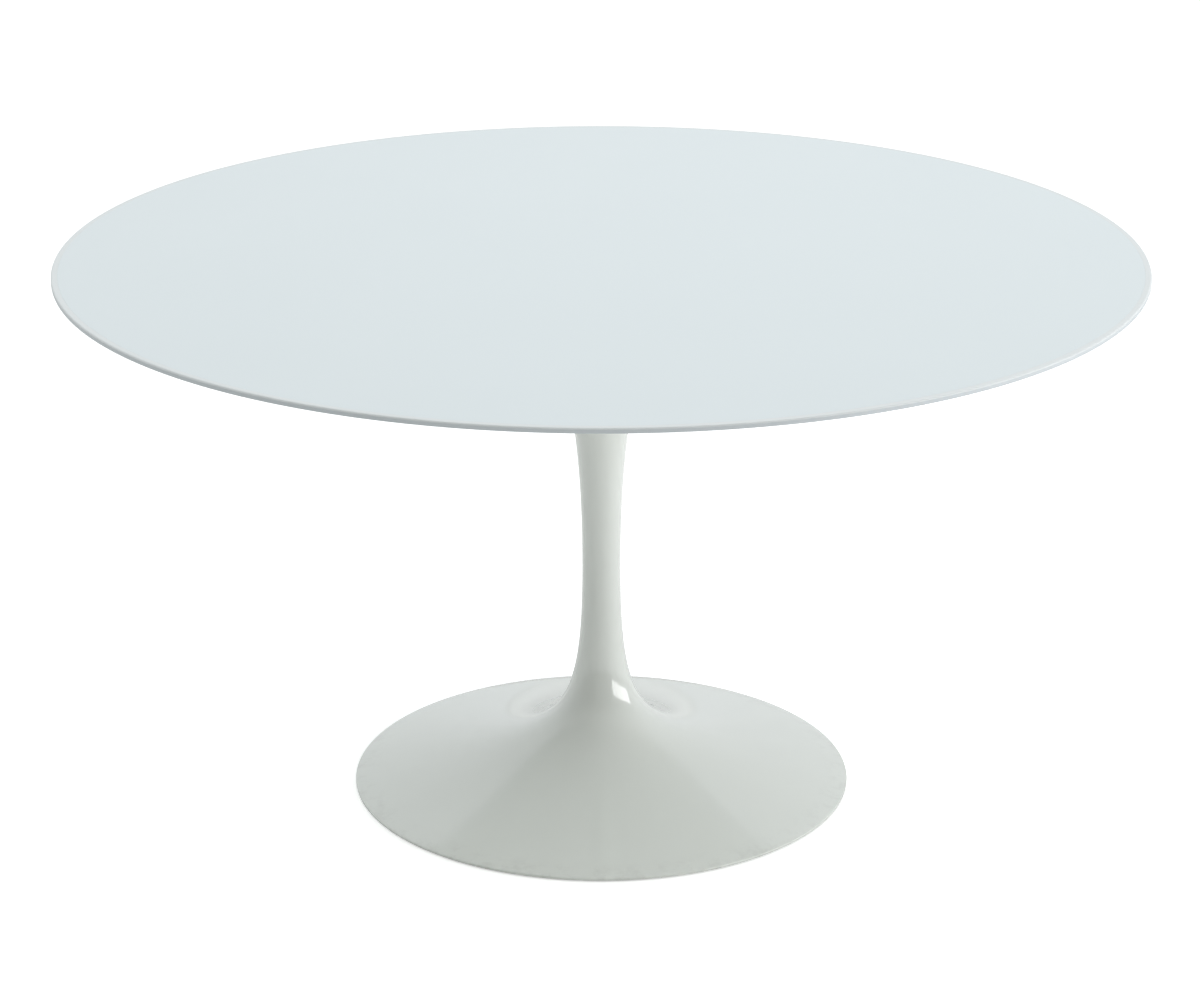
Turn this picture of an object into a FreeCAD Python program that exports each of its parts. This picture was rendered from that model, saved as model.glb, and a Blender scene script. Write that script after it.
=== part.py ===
"""Round pedestal dining table: a thin-edged laminate top on a one-piece cast trumpet pedestal.

The top is a board faced with laminate, balanced underneath and ringed by a solid edge lipping that
runs down into an undercut bevel. A steel plate is bolted into inserts in the board. A hub in that
plate holds a tie rod, which runs down inside the pedestal and is tightened by a nut under a cast web.
A ballast ring is bolted up inside the foot, and the foot stands on a plastic glide ring.

Frame: millimetres, +Z up, origin on the floor under the centre of the pedestal.
"""
import FreeCAD
import Part
import math
import os

V = FreeCAD.Vector

# ---- driving dimensions -------------------------------------------------------------------------
TOP_DIAMETER = 1370.0        # outside of the edge lipping
TABLE_HEIGHT = 715.0         # floor to the top face
BASE_DIAMETER = 650.0        # outside of the pedestal's foot
NECK_DIAMETER = 49.6         # narrowest place of the stem
NECK_HEIGHT = 298.0          # height of that place above the floor
FLANGE_DIAMETER = 172.0      # the stem's flare where it meets the mounting plate

# ---- table top ----------------------------------------------------------------------------------
CORE_THICKNESS = 24.0
LAMINATE_THICKNESS = 1.0
BACKER_THICKNESS = 0.8
EDGE_HEIGHT = 6.5            # upright face of the rim
LIPPING_WIDTH = 8.0          # radial width of the solid edge
BEVEL_WIDTH = 90.0           # undercut, measured inwards from the rim
LIPPING_TOP_RADIUS = 2.0
LIPPING_BOTTOM_RADIUS = 1.0
BACKER_SETBACK = 1.0         # backer stops this far inside the bevel

# ---- mounting plate and its bolts ---------------------------------------------------------------
PLATE_DIAMETER = 340.0
PLATE_THICKNESS = 5.0
PLATE_CHAMFER = 1.0
PLATE_BOLT_COUNT = 8
PLATE_BOLT_CIRCLE = 300.0
PLATE_BOLT_RADIUS = 3.0      # M6
PLATE_BOLT_LENGTH = 16.0
PLATE_BOLT_CLEARANCE = 0.3   # radial, in the plate
PLATE_HEAD_RADIUS = 5.25
PLATE_HEAD_HEIGHT = 3.3
PLATE_HEAD_ROUNDING = 2.31
PLATE_SOCKET_WIDTH = 4.0     # hexagon socket, across flats
PLATE_SOCKET_DEPTH = 2.0
PLATE_WASHER_RADIUS = 6.0
PLATE_WASHER_THICKNESS = 1.6
INSERT_RADIUS = 5.0
INSERT_LENGTH = 13.0
INSERT_FLANGE_RADIUS = 6.5
INSERT_FLANGE_HEIGHT = 1.0
THREAD_CLEARANCE = 0.05      # radial, a plain bore standing for a thread

# ---- hub, tie rod and clamp hardware ------------------------------------------------------------
HUB_RADIUS = 30.0
HUB_SPIGOT_RADIUS = 20.0
HUB_LENGTH = 26.0            # below the plate
HUB_CHAMFER = 1.5
ROD_RADIUS = 8.0             # M16
ROD_TOP_SETBACK = 1.0        # rod end below the plate's top face
ROD_TAIL = 5.0               # rod end below the clamp nut
NUT_WIDTH = 24.0             # across flats
NUT_HEIGHT = 14.8
JAM_NUT_HEIGHT = 8.0
NUT_CHAMFER = 1.2
ROD_CHAMFER = 1.0
SPRING_WASHER_CLEARANCE = 0.2  # radial, round the rod
SPRING_WASHER_WIDTH = 5.5      # radial
SPRING_WASHER_HEIGHT = 3.5
SPRING_WASHER_GAP = 2.0
CLAMP_WASHER_RADIUS = 25.0
CLAMP_WASHER_THICKNESS = 5.0
ROD_HOLE_CLEARANCE = 1.0     # radial, in the web and the clamp washer

# ---- pedestal casting ---------------------------------------------------------------------------
GLIDE_STANDOFF = 1.5         # the foot's underside above the floor
RIM_HEIGHT = 3.5             # upright edge of the foot
RIM_RADIUS = 1.2
FOOT_SLOPE = 11.5            # degrees, the foot's upper face at the rim
FOOT_TIGHTNESS = 2.5         # how closely the lower flare hugs its corner
FLARE_SHARE = 0.5947         # of the height from neck to flange, where the flare's two tangents meet
FLARE_TIGHTNESS = 1.2
FLANGE_EDGE = 3.0            # upright edge of the stem's flange
FLANGE_EDGE_RADIUS = 1.0
NECK_WALL = 10.5
FLANGE_WALL = 9.0
FOOT_WALL = 6.0
DIAPHRAGM_THICKNESS = 12.0   # closes the flare at the top
WEB_BOTTOM = 78.0            # the web that takes the clamp nut
WEB_THICKNESS = 14.0
HUB_CLEARANCE = 0.5          # radial, hub in the diaphragm
GASKET_THICKNESS = 1.5
GASKET_SETBACK = 2.0         # gasket inside the flange's edge

RIB_COUNT = 8
RIB_THICKNESS = 5.0
RIB_INNER_RADIUS = 34.0
RIB_INNER_DEPTH = 38.0       # rib foot below the web at the inner end
RIB_OUTER_SETBACK = 22.0     # ribs stop this far inside the foot's rim
RIB_FLOOR_GAP = 3.5          # ribs outside the ballast end this far above the foot's underside

# ---- locating pins ------------------------------------------------------------------------------
PIN_COUNT = 2
PIN_CIRCLE_RADIUS = 55.0
PIN_RADIUS = 3.0
PIN_DEPTH = 8.0              # in the diaphragm
PIN_TOP_SETBACK = 1.0        # pin end below the plate's top face
PIN_CLEARANCE = 0.05

# ---- ballast ring and its bolts -----------------------------------------------------------------
BALLAST_INNER_RADIUS = 55.0
BALLAST_OUTER_RADIUS = 205.0
BALLAST_THICKNESS = 16.0
BALLAST_FLOOR_GAP = 5.0
BALLAST_CHAMFER = 1.5
BALLAST_RIB_GAP = 1.0
BALLAST_BOLT_COUNT = 4
BALLAST_BOLT_CIRCLE = 260.0
BALLAST_BOLT_RADIUS = 4.0    # M8
BALLAST_BOLT_LENGTH = 25.0
BALLAST_BOLT_CLEARANCE = 0.5
BALLAST_HEAD_WIDTH = 13.0    # across flats
BALLAST_HEAD_HEIGHT = 5.3
BALLAST_WASHER_RADIUS = 8.0
BALLAST_WASHER_THICKNESS = 1.6
COUNTERBORE_RADIUS = 12.0
COUNTERBORE_DEPTH = 7.5
BOSS_RADIUS = 13.0
BOSS_HOLE_SPARE = 3.0        # boss hole beyond the bolt's end

# ---- glide ring ---------------------------------------------------------------------------------
GLIDE_WIDTH = 5.0
GLIDE_SETBACK = 4.0          # ring inside the foot's edge
GLIDE_SEAT_DEPTH = 2.5
GLIDE_CLEARANCE = 0.1        # radial, in its groove
GLIDE_FOOT_RADIUS = 0.7

NEAR = 0.01                  # two places closer than this are one

# ---- places worked out from them ----------------------------------------------------------------
TOP_RADIUS = TOP_DIAMETER / 2
BASE_RADIUS = BASE_DIAMETER / 2
NECK_RADIUS = NECK_DIAMETER / 2
FLANGE_RADIUS = FLANGE_DIAMETER / 2

CORE_TOP = TABLE_HEIGHT - LAMINATE_THICKNESS
CORE_BOTTOM = CORE_TOP - CORE_THICKNESS
BACKER_BOTTOM = CORE_BOTTOM - BACKER_THICKNESS
EDGE_BOTTOM = TABLE_HEIGHT - EDGE_HEIGHT
CORE_RADIUS = TOP_RADIUS - LIPPING_WIDTH
BEVEL_RADIUS = TOP_RADIUS - BEVEL_WIDTH

PLATE_TOP = BACKER_BOTTOM
PLATE_BOTTOM = PLATE_TOP - PLATE_THICKNESS
HUB_BOTTOM = PLATE_BOTTOM - HUB_LENGTH
FLANGE_TOP = PLATE_BOTTOM - GASKET_THICKNESS
DIAPHRAGM_BOTTOM = FLANGE_TOP - DIAPHRAGM_THICKNESS

FOOT_BOTTOM = GLIDE_STANDOFF
RIM_TOP = FOOT_BOTTOM + RIM_HEIGHT
WEB_TOP = WEB_BOTTOM + WEB_THICKNESS
FLANGE_EDGE_BOTTOM = FLANGE_TOP - FLANGE_EDGE
FLARE_CORNER = NECK_HEIGHT + FLARE_SHARE * (FLANGE_EDGE_BOTTOM - NECK_HEIGHT)

CLAMP_WASHER_BOTTOM = WEB_BOTTOM - CLAMP_WASHER_THICKNESS
SPRING_WASHER_BOTTOM = CLAMP_WASHER_BOTTOM - SPRING_WASHER_HEIGHT
NUT_BOTTOM = SPRING_WASHER_BOTTOM - NUT_HEIGHT
ROD_BOTTOM = NUT_BOTTOM - ROD_TAIL
SPRING_WASHER_INNER = ROD_RADIUS + SPRING_WASHER_CLEARANCE
SPRING_WASHER_OUTER = SPRING_WASHER_INNER + SPRING_WASHER_WIDTH

BALLAST_BOTTOM = BALLAST_FLOOR_GAP
BALLAST_TOP = BALLAST_BOTTOM + BALLAST_THICKNESS
BALLAST_SEAT = BALLAST_BOTTOM + COUNTERBORE_DEPTH
GLIDE_OUTER_RADIUS = BASE_RADIUS - GLIDE_SETBACK
GLIDE_INNER_RADIUS = GLIDE_OUTER_RADIUS - GLIDE_WIDTH


# ---- helpers ------------------------------------------------------------------------------------
def bevel_height(radius):
    """Height of the undercut bevel at a radius, on the straight line from the rim to the flat."""
    share = (TOP_RADIUS - radius) / BEVEL_WIDTH
    return EDGE_BOTTOM + (CORE_BOTTOM - EDGE_BOTTOM) * share


def line(start, end):
    """Straight edge between two (radius, height) points."""
    return Part.LineSegment(V(start[0], 0, start[1]), V(end[0], 0, end[1])).toShape()


def outline(points):
    """Straight edges through (radius, height) points, in order."""
    return [line(a, b) for a, b in zip(points, points[1:])]


def conic(start, corner, end, tightness):
    """Smooth flare from start to end, tangent to the lines that meet at the corner."""
    poles = [V(p[0], 0, p[1]) for p in (start, corner, end)]
    curve = Part.BSplineCurve()
    curve.buildFromPolesMultsKnots(poles, [3, 3], [0.0, 1.0], False, 2, [1.0, tightness, 1.0])
    return curve.toShape()


def revolve(edges):
    """Solid of revolution about Z of a closed outline of (radius, height) edges."""
    face = Part.Face(Part.Wire(Part.__sortEdges__(edges)))
    return face.revolve(V(0, 0, 0), V(0, 0, 1), 360)


def ring(inner, outer, bottom, top):
    """Flat ring or, with no inner radius, a disc."""
    disc = Part.makeCylinder(outer, top - bottom, V(0, 0, bottom))
    if inner <= 0:
        return disc
    return disc.cut(Part.makeCylinder(inner, top - bottom, V(0, 0, bottom)))


def rod(radius, bottom, top, centre=(0.0, 0.0)):
    """Upright cylinder between two heights."""
    return Part.makeCylinder(radius, top - bottom, V(centre[0], centre[1], bottom))


def hexagon(width, bottom, top, centre=(0.0, 0.0)):
    """Upright hexagonal prism, width measured across flats."""
    corner = width / math.sqrt(3)
    points = []
    for step in range(7):
        angle = math.radians(60 * step)
        points.append(V(centre[0] + corner * math.cos(angle), centre[1] + corner * math.sin(angle), bottom))
    return Part.Face(Part.makePolygon(points)).extrude(V(0, 0, top - bottom))


def on_circle(count, radius, first_angle=0.0):
    """(x, y) of points spaced evenly round the table's axis."""
    angles = [math.radians(first_angle + 360.0 * i / count) for i in range(count)]
    return [(radius * math.cos(a), radius * math.sin(a)) for a in angles]


def circle_edges(shape, radius, height):
    """Whole circular edges of a solid about the table's axis, at a radius and a height."""
    found = []
    for edge in shape.Edges:
        if isinstance(edge.Curve, Part.Circle):
            circle = edge.Curve
            near_axis = math.hypot(circle.Center.x, circle.Center.y) < NEAR
            if near_axis and abs(circle.Radius - radius) < NEAR and abs(circle.Center.z - height) < NEAR:
                found.append(edge)
    return found


def plate_bolt_places():
    """Centres of the mounting plate's bolts."""
    return on_circle(PLATE_BOLT_COUNT, PLATE_BOLT_CIRCLE / 2, 180.0 / PLATE_BOLT_COUNT)


def pin_places():
    """Centres of the locating pins."""
    return on_circle(PIN_COUNT, PIN_CIRCLE_RADIUS)


def ballast_bolt_places():
    """Centres of the ballast's bolts, which lie between ribs."""
    return on_circle(BALLAST_BOLT_COUNT, BALLAST_BOLT_CIRCLE / 2)


# ---- table top ----------------------------------------------------------------------------------
def top_laminate():
    """Sheet on the top face, inside the lipping."""
    return ring(0, CORE_RADIUS, CORE_TOP, TABLE_HEIGHT)


def top_core():
    """Board with the undercut bevel, bored from below for the inserts."""
    board = revolve(outline([
        (0, CORE_TOP),
        (CORE_RADIUS, CORE_TOP),
        (CORE_RADIUS, bevel_height(CORE_RADIUS)),
        (BEVEL_RADIUS, CORE_BOTTOM),
        (0, CORE_BOTTOM),
        (0, CORE_TOP),
    ]))
    for place in plate_bolt_places():
        board = board.cut(rod(INSERT_RADIUS, CORE_BOTTOM, CORE_BOTTOM + INSERT_LENGTH, place))
        board = board.cut(rod(INSERT_FLANGE_RADIUS, CORE_BOTTOM, CORE_BOTTOM + INSERT_FLANGE_HEIGHT, place))
    return board


def edge_lipping():
    """Solid edge round the board, flush with the laminate and carrying the bevel's outer end."""
    body = revolve(outline([
        (CORE_RADIUS, TABLE_HEIGHT),
        (TOP_RADIUS, TABLE_HEIGHT),
        (TOP_RADIUS, EDGE_BOTTOM),
        (CORE_RADIUS, bevel_height(CORE_RADIUS)),
        (CORE_RADIUS, TABLE_HEIGHT),
    ]))
    body = body.makeFillet(LIPPING_TOP_RADIUS, circle_edges(body, TOP_RADIUS, TABLE_HEIGHT))
    return body.makeFillet(LIPPING_BOTTOM_RADIUS, circle_edges(body, TOP_RADIUS, EDGE_BOTTOM))


def backing_laminate():
    """Balancing sheet under the board, cleared for the inserts' flanges."""
    sheet = ring(0, BEVEL_RADIUS - BACKER_SETBACK, BACKER_BOTTOM, CORE_BOTTOM)
    for place in plate_bolt_places():
        sheet = sheet.cut(rod(INSERT_FLANGE_RADIUS, BACKER_BOTTOM, CORE_BOTTOM, place))
    return sheet


def threaded_inserts():
    """Flanged brass inserts pressed into the board from below."""
    inserts = []
    for place in plate_bolt_places():
        sleeve = rod(INSERT_RADIUS, CORE_BOTTOM, CORE_BOTTOM + INSERT_LENGTH, place)
        flange = rod(INSERT_FLANGE_RADIUS, CORE_BOTTOM, CORE_BOTTOM + INSERT_FLANGE_HEIGHT, place)
        bore = rod(PLATE_BOLT_RADIUS + THREAD_CLEARANCE, CORE_BOTTOM, CORE_BOTTOM + INSERT_LENGTH, place)
        inserts.append(sleeve.fuse(flange).cut(bore).removeSplitter())
    return Part.makeCompound(inserts)


# ---- mounting plate -----------------------------------------------------------------------------
def mounting_plate():
    """Round steel plate under the board, holed for its bolts, the hub and the locating pins."""
    plate = ring(HUB_SPIGOT_RADIUS, PLATE_DIAMETER / 2, PLATE_BOTTOM, PLATE_TOP)
    plate = plate.makeChamfer(PLATE_CHAMFER, circle_edges(plate, PLATE_DIAMETER / 2, PLATE_BOTTOM))
    for place in plate_bolt_places():
        plate = plate.cut(rod(PLATE_BOLT_RADIUS + PLATE_BOLT_CLEARANCE, PLATE_BOTTOM, PLATE_TOP, place))
    for place in pin_places():
        plate = plate.cut(rod(PIN_RADIUS + PIN_CLEARANCE, PLATE_BOTTOM, PLATE_TOP, place))
    return plate


def plate_hub():
    """Turned steel hub, its spigot in the plate and its thread holding the tie rod."""
    spigot = rod(HUB_SPIGOT_RADIUS, PLATE_BOTTOM, PLATE_TOP)
    barrel = rod(HUB_RADIUS, HUB_BOTTOM, PLATE_BOTTOM)
    barrel = barrel.makeChamfer(HUB_CHAMFER, circle_edges(barrel, HUB_RADIUS, HUB_BOTTOM))
    bore = rod(ROD_RADIUS + THREAD_CLEARANCE, HUB_BOTTOM, PLATE_TOP)
    return barrel.fuse(spigot).cut(bore).removeSplitter()


def plate_washers():
    """Plain washers under the mounting plate's bolt heads."""
    bottom = PLATE_BOTTOM - PLATE_WASHER_THICKNESS
    hole = PLATE_BOLT_RADIUS + PLATE_BOLT_CLEARANCE
    return Part.makeCompound([
        rod(PLATE_WASHER_RADIUS, bottom, PLATE_BOTTOM, place).cut(rod(hole, bottom, PLATE_BOTTOM, place))
        for place in plate_bolt_places()
    ])


def plate_bolts():
    """Button-head socket bolts through the plate into the inserts."""
    seat = PLATE_BOTTOM - PLATE_WASHER_THICKNESS
    bolts = []
    for place in plate_bolt_places():
        head = rod(PLATE_HEAD_RADIUS, seat - PLATE_HEAD_HEIGHT, seat, place)
        rim = [e for e in head.Edges if isinstance(e.Curve, Part.Circle) and e.Curve.Center.z < seat - NEAR]
        head = head.makeFillet(PLATE_HEAD_ROUNDING, rim)
        shank = rod(PLATE_BOLT_RADIUS, seat, seat + PLATE_BOLT_LENGTH, place)
        socket_top = seat - PLATE_HEAD_HEIGHT + PLATE_SOCKET_DEPTH
        socket = hexagon(PLATE_SOCKET_WIDTH, seat - PLATE_HEAD_HEIGHT, socket_top, place)
        bolts.append(head.fuse(shank).cut(socket).removeSplitter())
    return Part.makeCompound(bolts)


# ---- pedestal -----------------------------------------------------------------------------------
def flare_curves(neck, flange, flange_height, foot, foot_height):
    """Upper and lower flare of the trumpet, both leaving the neck upright."""
    foot_corner = foot_height + (foot - neck) * math.tan(math.radians(FOOT_SLOPE))
    start = (neck, NECK_HEIGHT)
    upper = conic(start, (neck, FLARE_CORNER), (flange, flange_height), FLARE_TIGHTNESS)
    lower = conic(start, (neck, foot_corner), (foot, foot_height), FOOT_TIGHTNESS)
    return [upper, lower]


def pedestal_skin():
    """The trumpet's outer shape as a solid, from the foot's underside to the flange's face."""
    edges = flare_curves(NECK_RADIUS, FLANGE_RADIUS, FLANGE_EDGE_BOTTOM, BASE_RADIUS, RIM_TOP)
    edges += outline([
        (FLANGE_RADIUS, FLANGE_EDGE_BOTTOM),
        (FLANGE_RADIUS, FLANGE_TOP),
        (0, FLANGE_TOP),
        (0, FOOT_BOTTOM),
        (BASE_RADIUS, FOOT_BOTTOM),
        (BASE_RADIUS, RIM_TOP),
    ])
    skin = revolve(edges)
    skin = skin.makeFillet(RIM_RADIUS, circle_edges(skin, BASE_RADIUS, RIM_TOP))
    return skin.makeFillet(FLANGE_EDGE_RADIUS, circle_edges(skin, FLANGE_RADIUS, FLANGE_TOP))


def pedestal_hollow():
    """The cast hollow, open at the foot, as a solid that follows the trumpet one wall inside it."""
    slope = math.radians(FOOT_SLOPE)
    drop = FOOT_WALL / math.cos(slope)
    reach = (drop - RIM_HEIGHT) / math.tan(slope)
    inner_foot = BASE_RADIUS - reach
    inner_flange = FLANGE_RADIUS - FLANGE_WALL
    edges = flare_curves(NECK_RADIUS - NECK_WALL, inner_flange, DIAPHRAGM_BOTTOM, inner_foot, FOOT_BOTTOM)
    edges += outline([
        (inner_flange, DIAPHRAGM_BOTTOM),
        (0, DIAPHRAGM_BOTTOM),
        (0, FOOT_BOTTOM),
        (inner_foot, FOOT_BOTTOM),
    ])
    return revolve(edges)


def rib(angle):
    """One radial stiffening rib, clear of the clamp nut and stepped over the ballast."""
    ballast_clear = BALLAST_TOP + BALLAST_RIB_GAP
    step_radius = BALLAST_OUTER_RADIUS + BALLAST_RIB_GAP
    outer_radius = BASE_RADIUS - RIB_OUTER_SETBACK
    foot = FOOT_BOTTOM + RIB_FLOOR_GAP
    points = [
        (RIB_INNER_RADIUS, WEB_TOP),
        (RIB_INNER_RADIUS, WEB_BOTTOM - RIB_INNER_DEPTH),
        (BALLAST_INNER_RADIUS, ballast_clear),
        (step_radius, ballast_clear),
        (step_radius + ballast_clear - foot, foot),
        (outer_radius, foot),
        (outer_radius, WEB_TOP),
        (RIB_INNER_RADIUS, WEB_TOP),
    ]
    face = Part.Face(Part.makePolygon([V(r, -RIB_THICKNESS / 2, z) for r, z in points]))
    plate = face.extrude(V(0, RIB_THICKNESS, 0))
    plate.rotate(V(0, 0, 0), V(0, 0, 1), angle)
    return plate


def pedestal():
    """The aluminium casting: trumpet, diaphragm, web, ribs and ballast bosses in one piece."""
    skin = pedestal_skin()
    hollow = pedestal_hollow()
    web = ring(0, BASE_RADIUS, WEB_BOTTOM, WEB_TOP)
    inside = [web]
    for i in range(RIB_COUNT):
        inside.append(rib(360.0 * (i + 0.5) / RIB_COUNT))
    for place in ballast_bolt_places():
        inside.append(rod(BOSS_RADIUS, BALLAST_TOP, WEB_TOP, place))
    kept = inside[0].multiFuse(inside[1:]).common(hollow)
    body = skin.cut(hollow).fuse(kept).removeSplitter()

    body = body.cut(rod(HUB_RADIUS + HUB_CLEARANCE, DIAPHRAGM_BOTTOM, FLANGE_TOP))
    body = body.cut(rod(ROD_RADIUS + ROD_HOLE_CLEARANCE, WEB_BOTTOM, WEB_TOP))
    for place in pin_places():
        body = body.cut(rod(PIN_RADIUS, FLANGE_TOP - PIN_DEPTH, FLANGE_TOP, place))
    bolt_end = BALLAST_SEAT - BALLAST_WASHER_THICKNESS + BALLAST_BOLT_LENGTH
    for place in ballast_bolt_places():
        hole = rod(BALLAST_BOLT_RADIUS + THREAD_CLEARANCE, BALLAST_TOP, bolt_end + BOSS_HOLE_SPARE, place)
        body = body.cut(hole)
    groove = ring(
        GLIDE_INNER_RADIUS - GLIDE_CLEARANCE,
        GLIDE_OUTER_RADIUS + GLIDE_CLEARANCE,
        FOOT_BOTTOM,
        FOOT_BOTTOM + GLIDE_SEAT_DEPTH,
    )
    return body.cut(groove)


def stem_gasket():
    """Thin ring between the flange and the mounting plate."""
    outer = FLANGE_RADIUS - GASKET_SETBACK
    gasket = ring(HUB_RADIUS + HUB_CLEARANCE, outer, FLANGE_TOP, PLATE_BOTTOM)
    for place in pin_places():
        gasket = gasket.cut(rod(PIN_RADIUS + PIN_CLEARANCE, FLANGE_TOP, PLATE_BOTTOM, place))
    return gasket


def locating_pins():
    """Dowels that stop the top from turning on the stem."""
    return Part.makeCompound([
        rod(PIN_RADIUS, FLANGE_TOP - PIN_DEPTH, PLATE_TOP - PIN_TOP_SETBACK, place)
        for place in pin_places()
    ])


# ---- tie rod and clamp hardware -----------------------------------------------------------------
def tie_rod():
    """Threaded rod from the hub down through the web."""
    bar = rod(ROD_RADIUS, ROD_BOTTOM, PLATE_TOP - ROD_TOP_SETBACK)
    return bar.makeChamfer(ROD_CHAMFER, circle_edges(bar, ROD_RADIUS, ROD_BOTTOM))


def hexagon_nut(bottom, top):
    """Nut on the tie rod, its corners turned off at both faces."""
    blank = hexagon(NUT_WIDTH, bottom, top)
    corner = NUT_WIDTH / math.sqrt(3)
    turned = revolve(outline([
        (0, bottom),
        (NUT_WIDTH / 2, bottom),
        (corner, bottom + NUT_CHAMFER),
        (corner, top - NUT_CHAMFER),
        (NUT_WIDTH / 2, top),
        (0, top),
        (0, bottom),
    ]))
    return blank.common(turned).cut(rod(ROD_RADIUS + THREAD_CLEARANCE, bottom, top))


def jam_nut():
    """Thin nut that locks the rod in the hub."""
    return hexagon_nut(HUB_BOTTOM - JAM_NUT_HEIGHT, HUB_BOTTOM)


def clamp_washer():
    """Heavy washer that spreads the nut's load over the web."""
    return ring(ROD_RADIUS + ROD_HOLE_CLEARANCE, CLAMP_WASHER_RADIUS, CLAMP_WASHER_BOTTOM, WEB_BOTTOM)


def spring_washer():
    """Split spring washer, drawn flat as it is when tightened."""
    washer = ring(SPRING_WASHER_INNER, SPRING_WASHER_OUTER, SPRING_WASHER_BOTTOM, CLAMP_WASHER_BOTTOM)
    slot = Part.makeBox(
        SPRING_WASHER_OUTER,
        SPRING_WASHER_GAP,
        SPRING_WASHER_HEIGHT,
        V(0, -SPRING_WASHER_GAP / 2, SPRING_WASHER_BOTTOM),
    )
    return washer.cut(slot)


def clamp_nut():
    """Nut that pulls the top down on the pedestal."""
    return hexagon_nut(NUT_BOTTOM, SPRING_WASHER_BOTTOM)


# ---- ballast and glide --------------------------------------------------------------------------
def ballast_ring():
    """Cast-iron weight in the foot, counterbored from below."""
    weight = ring(BALLAST_INNER_RADIUS, BALLAST_OUTER_RADIUS, BALLAST_BOTTOM, BALLAST_TOP)
    edges = circle_edges(weight, BALLAST_OUTER_RADIUS, BALLAST_TOP)
    edges += circle_edges(weight, BALLAST_OUTER_RADIUS, BALLAST_BOTTOM)
    edges += circle_edges(weight, BALLAST_INNER_RADIUS, BALLAST_BOTTOM)
    weight = weight.makeChamfer(BALLAST_CHAMFER, edges)
    hole = BALLAST_BOLT_RADIUS + BALLAST_BOLT_CLEARANCE
    for place in ballast_bolt_places():
        weight = weight.cut(rod(hole, BALLAST_BOTTOM, BALLAST_TOP, place))
        weight = weight.cut(rod(COUNTERBORE_RADIUS, BALLAST_BOTTOM, BALLAST_SEAT, place))
    return weight


def ballast_washers():
    """Plain washers in the ballast's counterbores."""
    bottom = BALLAST_SEAT - BALLAST_WASHER_THICKNESS
    hole = BALLAST_BOLT_RADIUS + BALLAST_BOLT_CLEARANCE
    return Part.makeCompound([
        rod(BALLAST_WASHER_RADIUS, bottom, BALLAST_SEAT, place).cut(rod(hole, bottom, BALLAST_SEAT, place))
        for place in ballast_bolt_places()
    ])


def ballast_bolts():
    """Hexagon-head bolts up through the ballast into the casting's bosses."""
    seat = BALLAST_SEAT - BALLAST_WASHER_THICKNESS
    bolts = []
    for place in ballast_bolt_places():
        head = hexagon(BALLAST_HEAD_WIDTH, seat - BALLAST_HEAD_HEIGHT, seat, place)
        shank = rod(BALLAST_BOLT_RADIUS, seat, seat + BALLAST_BOLT_LENGTH, place)
        bolts.append(head.fuse(shank).removeSplitter())
    return Part.makeCompound(bolts)


def glide_ring():
    """Plastic ring pressed into the foot's groove, which the table stands on."""
    body = ring(GLIDE_INNER_RADIUS, GLIDE_OUTER_RADIUS, 0.0, FOOT_BOTTOM + GLIDE_SEAT_DEPTH)
    edges = circle_edges(body, GLIDE_OUTER_RADIUS, 0.0) + circle_edges(body, GLIDE_INNER_RADIUS, 0.0)
    return body.makeFillet(GLIDE_FOOT_RADIUS, edges)


NODES = [
    top_laminate,
    top_core,
    edge_lipping,
    backing_laminate,
    threaded_inserts,
    mounting_plate,
    plate_hub,
    plate_washers,
    plate_bolts,
    pedestal,
    stem_gasket,
    locating_pins,
    tie_rod,
    jam_nut,
    clamp_washer,
    spring_washer,
    clamp_nut,
    ballast_ring,
    ballast_washers,
    ballast_bolts,
    glide_ring,
]


def main():
    """Builds every node and writes one STEP file for each."""
    os.makedirs("parts", exist_ok=True)
    for node in NODES:
        shape = node()
        name = node.__name__
        if not shape.isValid():
            raise RuntimeError(name + " isn't a valid shape")
        shape.exportStep(os.path.join("parts", name + ".step"))
        volume_litres = sum(s.Volume for s in shape.Solids) / 1e6
        print(f"{name}: {len(shape.Solids)} solids, {volume_litres:.4f} litres")


main()
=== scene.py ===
"""Looks of a round pedestal dining table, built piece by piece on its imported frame.

Every piece takes its place and size from the frame's boxes. Turned and hexagonal pieces are rings of
points lofted in mesh code. The trumpet casting, its ribs and bosses, the screw threads and every ring of
fasteners come from Geometry Nodes trees. Lengths are metres, +Z is up, and the origin is on the floor.
"""
import logging
import math
from dataclasses import dataclass, field
from enum import Enum
from functools import lru_cache
from typing import Any, Sequence

import bpy
import numpy as np
from mathutils import Matrix, Vector


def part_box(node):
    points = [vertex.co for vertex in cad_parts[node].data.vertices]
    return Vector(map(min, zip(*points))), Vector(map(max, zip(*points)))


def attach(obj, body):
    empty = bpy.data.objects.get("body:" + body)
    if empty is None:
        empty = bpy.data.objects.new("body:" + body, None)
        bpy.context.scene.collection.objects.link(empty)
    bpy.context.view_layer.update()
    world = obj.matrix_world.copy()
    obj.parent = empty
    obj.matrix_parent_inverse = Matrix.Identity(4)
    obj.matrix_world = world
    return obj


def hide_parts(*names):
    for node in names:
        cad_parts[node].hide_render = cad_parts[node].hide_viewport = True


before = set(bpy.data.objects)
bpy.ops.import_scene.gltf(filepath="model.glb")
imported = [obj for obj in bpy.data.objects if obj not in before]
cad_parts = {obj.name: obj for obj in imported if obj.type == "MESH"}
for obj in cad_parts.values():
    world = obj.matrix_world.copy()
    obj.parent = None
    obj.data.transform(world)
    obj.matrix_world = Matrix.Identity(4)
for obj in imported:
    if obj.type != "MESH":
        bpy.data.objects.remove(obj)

LOG = logging.getLogger("table")
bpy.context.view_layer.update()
BODY = "root"
MM = 0.001
TURN = 2 * math.pi
SMOOTH_ANGLE = math.radians(28)
WELD = 0.004 * MM
THREAD_ROWS = 8

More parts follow.
